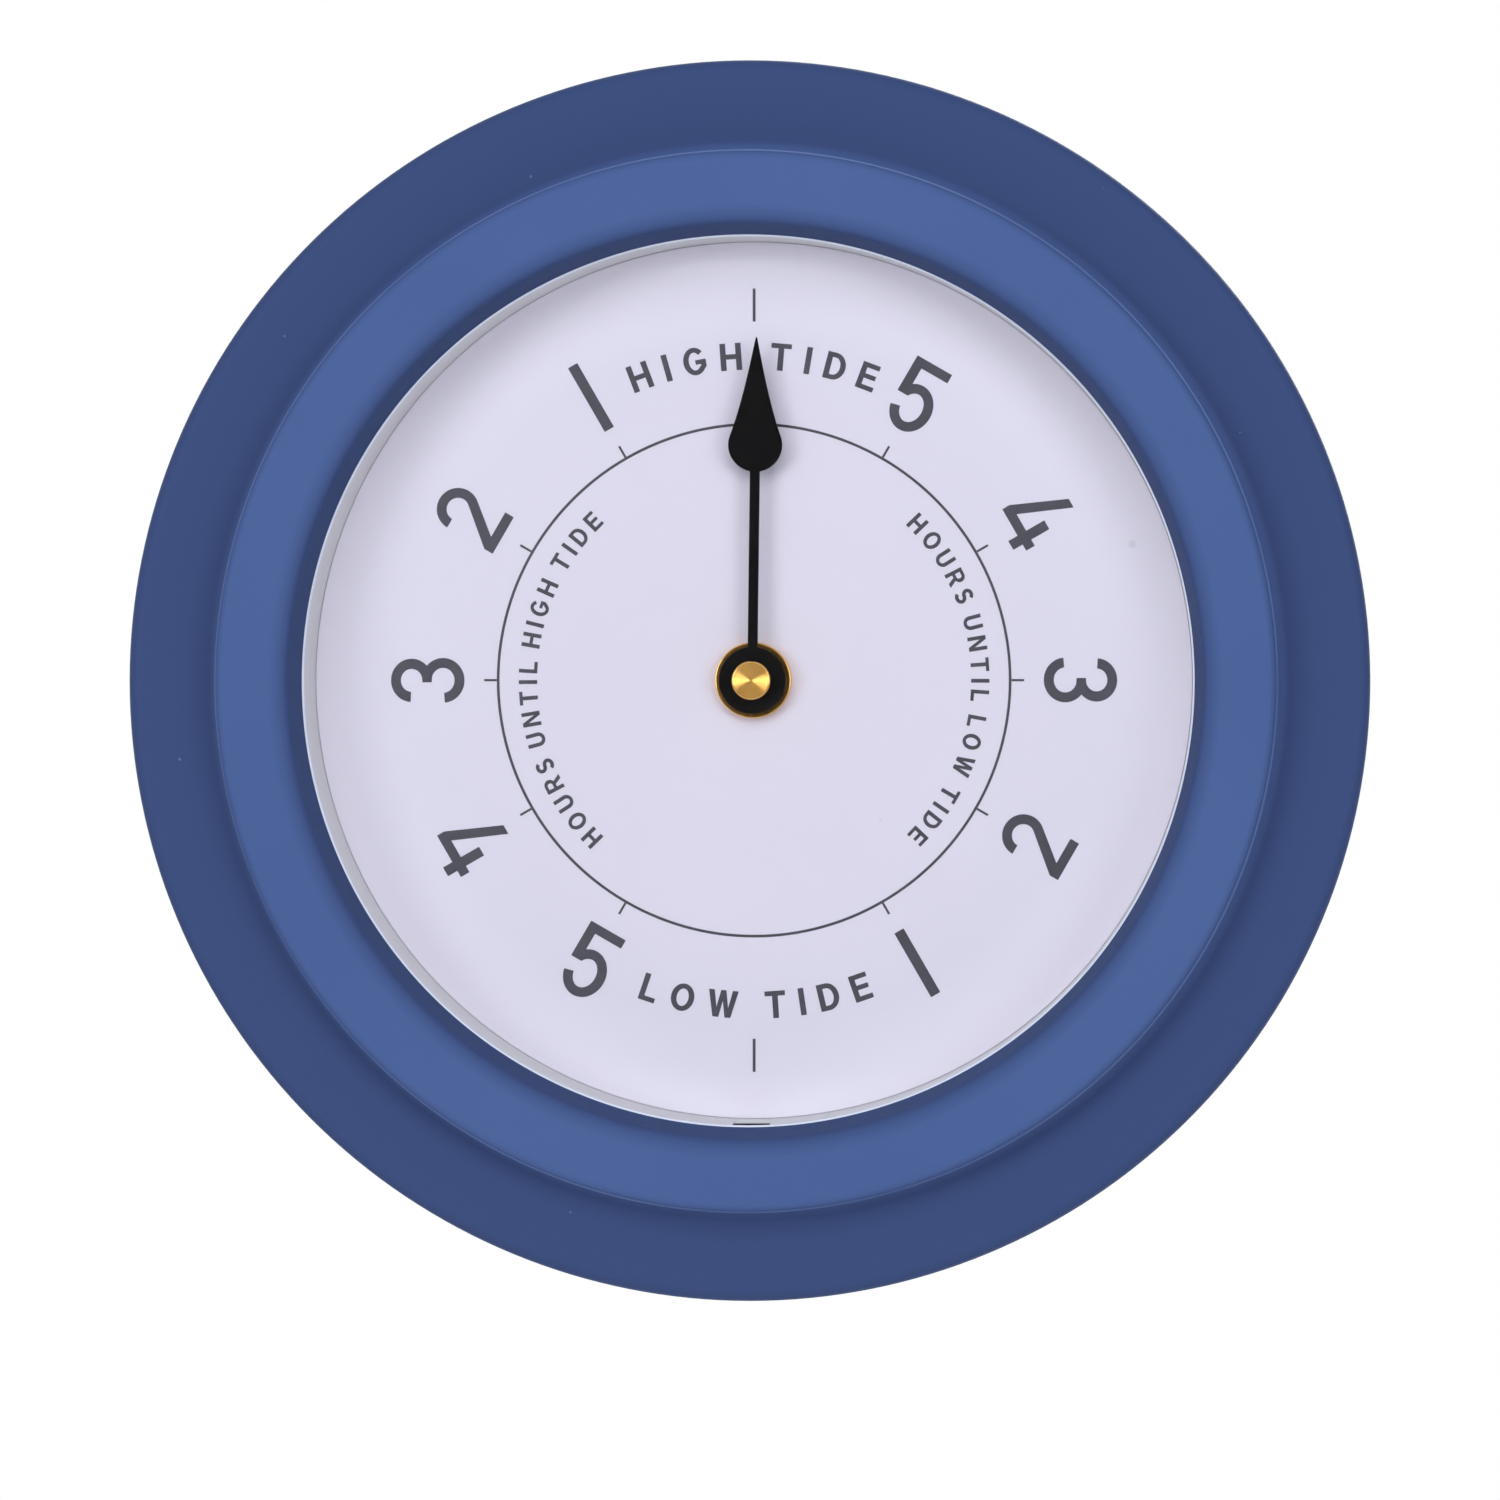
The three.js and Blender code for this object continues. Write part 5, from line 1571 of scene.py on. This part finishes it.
@dataclass
class Back:
    """Closed back: cover, screws, hanger and battery lid."""

    radius: float = 133.7
    land: float = 119.0
    plate: float = 2.0
    rim: float = 5.0
    rim_wall: float = 2.0
    edge: float = 0.5
    window: Pair = (20.0, 3.0)  # width and corner of the opening behind the hanger
    window_cut: float = 8.0  # how much lower than the hanger plate it is
    rivet_hole: float = 1.9
    screw_hole: float = 1.6
    screw_head: tuple[Pair, ...] = (
        (0, 0), (1.6, 0.06), (2.4, 0.2), (3.0, 0.5), (3.35, 0.85), (3.4, 1.1), (1.1, 1.1),
    )  # radius and distance from its top
    screw_neck: float = 0.6
    screw_thread: tuple[Pair, ...] = ((0.95, 0), (1.3, 0.35), (0.95, 0.7))  # one turn: radius and advance
    screw_pitch: float = 0.9
    screw_bare: float = 1.6  # length without thread at the tip
    screw_point: tuple[Pair, ...] = ((0.9, 1.0), (0, 0))  # radius and distance from the tip
    recess: Pair = (3.2, 0.7)  # length and width of one arm
    recess_depth: float = 0.75
    recess_corner: float = 0.25
    plate_corner: float = 3.0
    slot_end: Pair = (97.5, 2.5)  # height and radius of the keyhole's narrow end
    slot_entry: Pair = (85.5, 5.0)  # the same of its wide end
    plate_bevel: float = 0.15
    rivet_head: tuple[Pair, ...] = ((0, 0), (1.2, 0.06), (2.2, 0.25), (2.8, 0.55), (3.0, 0.8), (1.6, 0.8))
    rivet_tail: tuple[Pair, ...] = ((1.6, 0.8), (3.0, 0.8), (2.8, 0.2), (2.2, 0), (0, 0))
    lid: float = 68.0
    lid_height: float = -2.0
    lid_corner: float = 4.0
    lid_thick: float = 1.6
    lid_bevel: float = 0.25
    ledge: float = 3.0
    play: float = 0.3
    collar: float = 2.4
    tongue: Pair = (1.2, 12.0)  # thickness and height
    tongue_corner: float = 0.3
    thumb: float = 7.0
    thumb_height: float = 3.5
    thumb_depth: float = 0.8
    grips: int = 4
    grip: tuple[float, float, float] = (16.0, 0.8, 0.39)  # width, height and corner
    grip_height: float = 13.0
    grip_pitch: float = 2.0
    grip_depth: float = 0.4
    seal_gap: float = 0.1
    seal_bevel: float = 0.2
    steps: int = 160

    def square(self, name: str, size: float, rear: float, front: float, more: float = 0) -> bpy.types.Object:
        """Square block about the lid's middle, with the lid's corner radius or a bit more."""
        outline = rounded(size, size, self.lid_corner + more, (0.0, self.lid_height))
        return slab(name, outline, rear, front)

    def build(self, palette: Palette) -> None:
        """Models every piece of the back.

        Args:
            palette: The clock's finishes.
        """
        self.cover(palette)
        self.screws(palette)
        self.hanger(palette)
        self.lids(palette)

    def cover(self, palette: Palette) -> None:
        """Spins the cover, adds the lid's collar and cuts its openings.

        Args:
            palette: The clock's finishes.
        """
        low, high = depths("battery_lid")
        rear, front = low, low + self.plate
        e = self.edge
        loop = [
            (0, rear),
            (self.land - e, rear),
            *arc((self.land + e, e), e, 180, 270, 5),
            *arc((self.radius - e, e), e, 270, 360, 5),
            (self.radius, front + self.rim),
            (self.radius - self.rim_wall, front + self.rim),
            (self.radius - self.rim_wall, front),
            (0, front),
        ]
        cover = turned("back_shell", held(loop, BROAD), self.steps)
        opening = self.lid + 2 * self.play
        around = opening + 2 * self.collar
        merged(cover, self.square("collar", around, rear + self.plate / 2, high, self.collar), "UNION")
        seal = depths("lid_seal")[1] + self.seal_gap
        merged(cover, self.square("pocket", opening, -PAST, seal), "DIFFERENCE")
        cutters = [self.square("window", self.lid - 2 * self.ledge, -PAST, high + PAST)]
        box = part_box("hanger_plate")
        tall = (box[1].z - box[0].z) / MM - self.window_cut
        outline = rounded(self.window[0], tall, self.window[1], middle("hanger_plate"))
        cutters.append(slab("hang_window", outline, -PAST, front + PAST))
        holes = {f"hanger_rivet_{i + 1}": self.rivet_hole for i in range(2)}
        holes |= {f"cover_screw_{i + 1}": self.screw_hole for i in range(4)}
        for node, radius in holes.items():
            cutters.append(rod("hole", radius, -PAST, front + PAST, middle(node)))
        merged(cover, joined("cutters", *cutters), "DIFFERENCE")
        dress(cover, palette.black, "case", "back_cover")

    def screws(self, palette: Palette) -> None:
        """Models one cross-recessed screw with its thread and copies it.

        Args:
            palette: The clock's finishes.
        """
        rear, tip = depths("cover_screw_1")
        at = middle("cover_screw_1")
        profile = [(r, rear + s) for r, s in self.screw_head]
        base = profile[-1][1] + self.screw_neck
        while base < tip - self.screw_bare:
            profile += [(r, base + s) for r, s in self.screw_thread]
            base += self.screw_pitch
        profile += [(r, tip - s) for r, s in self.screw_point]
        screw = turned("cross_screw_1", profile, 32, at)
        for size in (self.recess, self.recess[::-1]):
            outline = rounded(*size, self.recess_corner, at, 3)
            merged(screw, slab("arm", outline, rear - PAST / 2, rear + self.recess_depth), "DIFFERENCE")
        for i in range(1, 4):
            x, h = middle(f"cover_screw_{i + 1}")
            piece = copied(screw, f"cross_screw_{i + 1}", spot(x, 0, h) - spot(at[0], 0, at[1]))
            dress(piece, palette.zinc, "case", f"cover_screw_{i + 1}")
        dress(screw, palette.zinc, "case", "cover_screw_1")

    def hanger(self, palette: Palette) -> None:
        """Models the keyhole plate and its two rivets.

        Args:
            palette: The clock's finishes.
        """
        rear, front = depths("hanger_plate")
        low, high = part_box("hanger_plate")
        at = middle("hanger_plate")
        size = ((high.x - low.x) / MM, (high.z - low.z) / MM)
        plate = slab("keyhole_plate", rounded(*size, self.plate_corner, at), rear, front)
        (end_height, end), (entry_height, entry) = self.slot_end, self.slot_entry
        reach = math.degrees(math.asin(end / entry))
        keyhole = arc((0, end_height), end, 0, 180, 20)
        keyhole += arc((0, entry_height), entry, 90 + reach, 450 - reach, 36)
        cutters = [slab("keyhole", keyhole, rear - PAST, front + PAST)]
        sites = [middle(f"hanger_rivet_{i + 1}") for i in range(2)]
        cutters += [rod("hole", self.rivet_hole, rear - PAST, front + PAST, site) for site in sites]
        merged(plate, joined("cutters", *cutters), "DIFFERENCE")
        dress(bevelled(plate, self.plate_bevel), palette.zinc, "case", "hanger_plate")
        back, tail = depths("hanger_rivet_1")
        profile = [(r, back + s) for r, s in self.rivet_head] + [(r, tail - s) for r, s in self.rivet_tail]
        rivet = turned("hanger_pin_1", profile, 32, sites[0])
        pair = copied(rivet, "hanger_pin_2", spot(sites[1][0], 0, 0) - spot(sites[0][0], 0, 0))
        dress(rivet, palette.zinc, "case", "hanger_rivet_1")
        dress(pair, palette.zinc, "case", "hanger_rivet_2")

    def lids(self, palette: Palette) -> None:
        """Models the battery lid with its thumb notch, grip grooves and tongues, and its seal.

        Args:
            palette: The clock's finishes.
        """
        rear, front = depths("battery_lid")
        lid = self.square("lid_panel", self.lid, rear, rear + self.lid_thick)
        bevelled(lid, self.lid_bevel)
        inner = self.lid / 2 - self.ledge - self.play
        for side in (-1, 1):
            x = side * (inner - self.tongue[0] / 2)
            outline = rounded(*self.tongue, self.tongue_corner, (x, self.lid_height), 3)
            merged(lid, slab("tongue", outline, rear + self.lid_thick / 2, front), "UNION")
        foot = self.lid_height - self.lid / 2
        thumb_at = (0, foot + self.thumb_height)
        cutters = [rod("thumb", self.thumb, rear - PAST, rear + self.thumb_depth, thumb_at, 48)]
        for i in range(self.grips):
            outline = rounded(*self.grip, (0, foot + self.grip_height + self.grip_pitch * i), 4)
            cutters.append(slab("groove", outline, rear - PAST, rear + self.grip_depth))
        merged(lid, joined("cutters", *cutters), "DIFFERENCE")
        dress(lid, palette.black, "lid", "battery_lid")
        low, high = depths("lid_seal")
        seal = self.square("lid_seal_ring", self.lid, low, high)
        merged(seal, self.square("hole", self.lid - 2 * self.ledge, low - PAST, high + PAST), "DIFFERENCE")
        dress(bevelled(seal, self.seal_bevel), palette.rubber, "lid", "lid_seal")


@dataclass
class Movement:
    """Quartz movement: battery modelled smooth, the rest carried over from the frame."""

    nub_radius: float = 2.75
    nub: float = 1.1
    base_inset: float = 1.0
    base_dent: float = 0.3
    cell_bevel: float = 0.3
    cell_steps: int = 64
    facing: float = 0.9  # least cosine of a face that looks along the cell

    def build(self, palette: Palette) -> None:
        """Models the battery and dresses the carried-over nodes.

        Args:
            palette: The clock's finishes.
        """
        self.battery(palette)
        finishes = {
            palette.black: ("movement_case", "movement_cover", "train_plate", "chip"),
            palette.gear: (
                *(f"{place}_wheel" for place in ("centre", "second", "third", "fourth", "fifth")),
                "coil_bobbin",
                "setting_knob",
            ),
            palette.zinc: (
                *("stator", "coil_core", "quartz_crystal", "contact_plus", "contact_minus"),
                *(f"stud_nut_{i + 1}" for i in range(4)),
            ),
            palette.brass: ("hand_arbor", "clutch_washer"),
            palette.rubber: ("bush_washer",),
            palette.magnet: ("rotor",),
            palette.copper: ("coil_winding",),
            palette.board: ("circuit_board",),
        }
        for finish, names in finishes.items():
            for name in names:
                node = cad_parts[name]
                node.data.materials.clear()
                node.data.materials.append(finish.material())
                log.info("%s carried over as %s", name, finish.name)

    def battery(self, palette: Palette) -> None:
        """Models the cell from a cylinder along X: inset and extruded nub, inset base.

        Args:
            palette: The clock's finishes.
        """
        low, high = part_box("battery")
        radius = (high.z - low.z) / 2
        length = high.x - low.x - self.nub * MM
        at = ((low.x + high.x - self.nub * MM) / 2, (low.y + high.y) / 2, (low.z + high.z) / 2)
        pick()
        bpy.ops.mesh.primitive_cylinder_add(
            vertices=self.cell_steps, radius=radius, depth=length, location=at, rotation=(0, math.pi / 2, 0)
        )
        cell = named("cell_body")
        bpy.ops.object.transform_apply()
        bpy.ops.object.mode_set(mode="EDIT")
        bpy.ops.mesh.select_mode(type="FACE")
        ends = ((1, radius - self.nub_radius * MM, self.nub), (-1, self.base_inset * MM, self.base_dent))
        for end, inset, way in ends:
            bpy.ops.mesh.select_all(action="DESELECT")
            bpy.ops.object.mode_set(mode="OBJECT")
            for face in cell.data.polygons:
                face.select = face.normal.x * end > self.facing and len(face.vertices) == self.cell_steps
            bpy.ops.object.mode_set(mode="EDIT")
            bpy.ops.mesh.inset(thickness=inset)
            bpy.ops.mesh.extrude_region_move(TRANSFORM_OT_translate={"value": (way * MM, 0, 0)})
        bpy.ops.mesh.select_mode(type="VERT")
        dress(bevelled(closed(cell), self.cell_bevel, 3), palette.cell, "case", "battery")


@dataclass
class Lamp:
    """One soft area lamp aimed at the dial."""

    name: str
    place: tuple[float, float, float]  # m
    size: Pair  # m
    power: float  # W
    mirrored: bool = True  # whether glossy surfaces show it
    aim_depth: float = 35.0  # point on the hand axis that it looks at, mm

    def build(self) -> None:
        """Adds the lamp."""
        bpy.ops.object.light_add(type="AREA", location=self.place)
        lamp = named(self.name)
        lamp.data.shape = "RECTANGLE"
        lamp.data.size, lamp.data.size_y = self.size
        lamp.data.energy = self.power
        lamp.visible_glossy = lamp.visible_transmission = self.mirrored
        aim = spot(0, self.aim_depth, 0) - Vector(self.place)
        lamp.rotation_euler = aim.to_track_quat("-Z", "Y").to_euler()


@dataclass
class Studio:
    """Floor, lamps, surroundings and camera."""

    floor_drop: float = 0.75  # m
    floor_radius: float = 1.2  # m
    floor_steps: int = 96
    distance: float = 800.0  # camera to flange, mm
    beside: float = 72.0  # camera to the right of the hand axis, mm
    above: float = 8.0  # camera over the hand axis, mm
    nearest: float = 0.01  # m
    lens: float = 88.5
    sensor: float = 36.0
    frame_centre: Pair = (0.2, -15.03)  # (x, height) in the middle of the picture, mm
    flange_depth: float = 37.0
    surround: Rgb = (126, 126, 129)
    floor_finish: Finish = Finish(
        "pale_floor", "floor", (236, 236, 236), (232, 232, 232), 0.8, (225, 225, 225), relief=0.01,
    )
    card_finish: Finish = Finish(
        "black_card", "floor", (20, 20, 21), (24, 24, 25), 0.9, (30, 30, 31), relief=0.01,
    )
    card_size: Pair = (0.85, 0.75)  # m
    card_place: tuple[float, float, float] = (-0.08, -1.2, -0.15)  # m
    lamps: tuple[Lamp, ...] = (
        Lamp("left_lamp", (-1.0, -1.45, 0.05), (0.7, 0.7), 8.2),
        Lamp("right_lamp", (1.0, -1.45, 0.05), (0.7, 0.7), 7.2),
        Lamp("top_lamp", (0.0, -1.68, 0.76), (1.5, 1.0), 16.0, mirrored=False),
        Lamp("rear_lamp", (0.5, 1.6, 0.5), (1.2, 1.2), 30.0),
    )

    def build(self) -> None:
        """Sets up everything round the clock."""
        bpy.context.scene.view_settings.view_transform = "Standard"
        self.floor()
        self.card()
        self.world()
        for lamp in self.lamps:
            lamp.build()
        self.camera()

    def floor(self) -> None:
        """Adds a pale floor disc well below the clock."""
        pick()
        place = (0, 0, -self.floor_drop)
        bpy.ops.mesh.primitive_circle_add(
            vertices=self.floor_steps, radius=self.floor_radius, fill_type="NGON", location=place
        )
        floor = named("studio_floor")
        bpy.ops.object.transform_apply()
        floor.data.materials.append(self.floor_finish.material())

    def card(self) -> None:
        """Adds a dark card that only reflections show, so that the flat glass stays clear."""
        pick()
        bpy.ops.mesh.primitive_plane_add(size=1.0, location=self.card_place, rotation=(math.pi / 2, 0, 0))
        card = named("lens_card")
        card.scale = (*self.card_size, 1.0)
        bpy.ops.object.transform_apply()
        card.data.materials.append(self.card_finish.material())
        card.visible_camera = card.visible_diffuse = card.visible_shadow = False

    def world(self) -> None:
        """White to the camera and in reflections, an even grey as light."""
        world = bpy.data.worlds.new("studio")
        bpy.context.scene.world = world
        world.use_nodes = True
        graph = Graph(world.node_tree)
        path = graph.add("LightPath").outputs
        mirror = graph.math("MAXIMUM", path["Is Glossy Ray"], path["Is Transmission Ray"])
        seen = graph.math("MAXIMUM", path["Is Camera Ray"], mirror)
        around = graph.add("Background", {"Color": linear(self.surround), "Strength": 1.0})
        white = graph.add("Background", {"Color": (1, 1, 1, 1), "Strength": 1.0})
        both = graph.add("MixShader", {0: seen, 1: around.outputs[0], 2: white.outputs[0]})
        graph.add("OutputWorld", {"Surface": both.outputs[0]})

    def camera(self) -> None:
        """Adds the camera, square to the dial, a little to its right, with its frame shifted to the clock."""
        pick()
        place = spot(self.beside, self.flange_depth + self.distance, self.above)
        bpy.ops.object.camera_add(location=place, rotation=(math.pi / 2, 0, 0))
        camera = named("camera")
        width = self.sensor / self.lens * self.distance
        camera.data.sensor_width = self.sensor
        camera.data.lens = self.lens
        camera.data.clip_start = self.nearest
        camera.data.shift_x = (self.frame_centre[0] - self.beside) / width
        camera.data.shift_y = (self.frame_centre[1] - self.above) / width
        bpy.context.scene.camera = camera


def main() -> None:
    """Builds the clock's looks piece by piece, then the studio."""
    logging.basicConfig(level=logging.INFO, format="%(message)s")
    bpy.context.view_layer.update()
    palette = Palette()
    for assembly in (FrontShell(), Lens(), Pan(), Dial(), TideHand(), Back(), Movement()):
        log.info("building %s", type(assembly).__name__)
        assembly.build(palette)
    Studio().build()


if __name__ == "__main__":
    main()
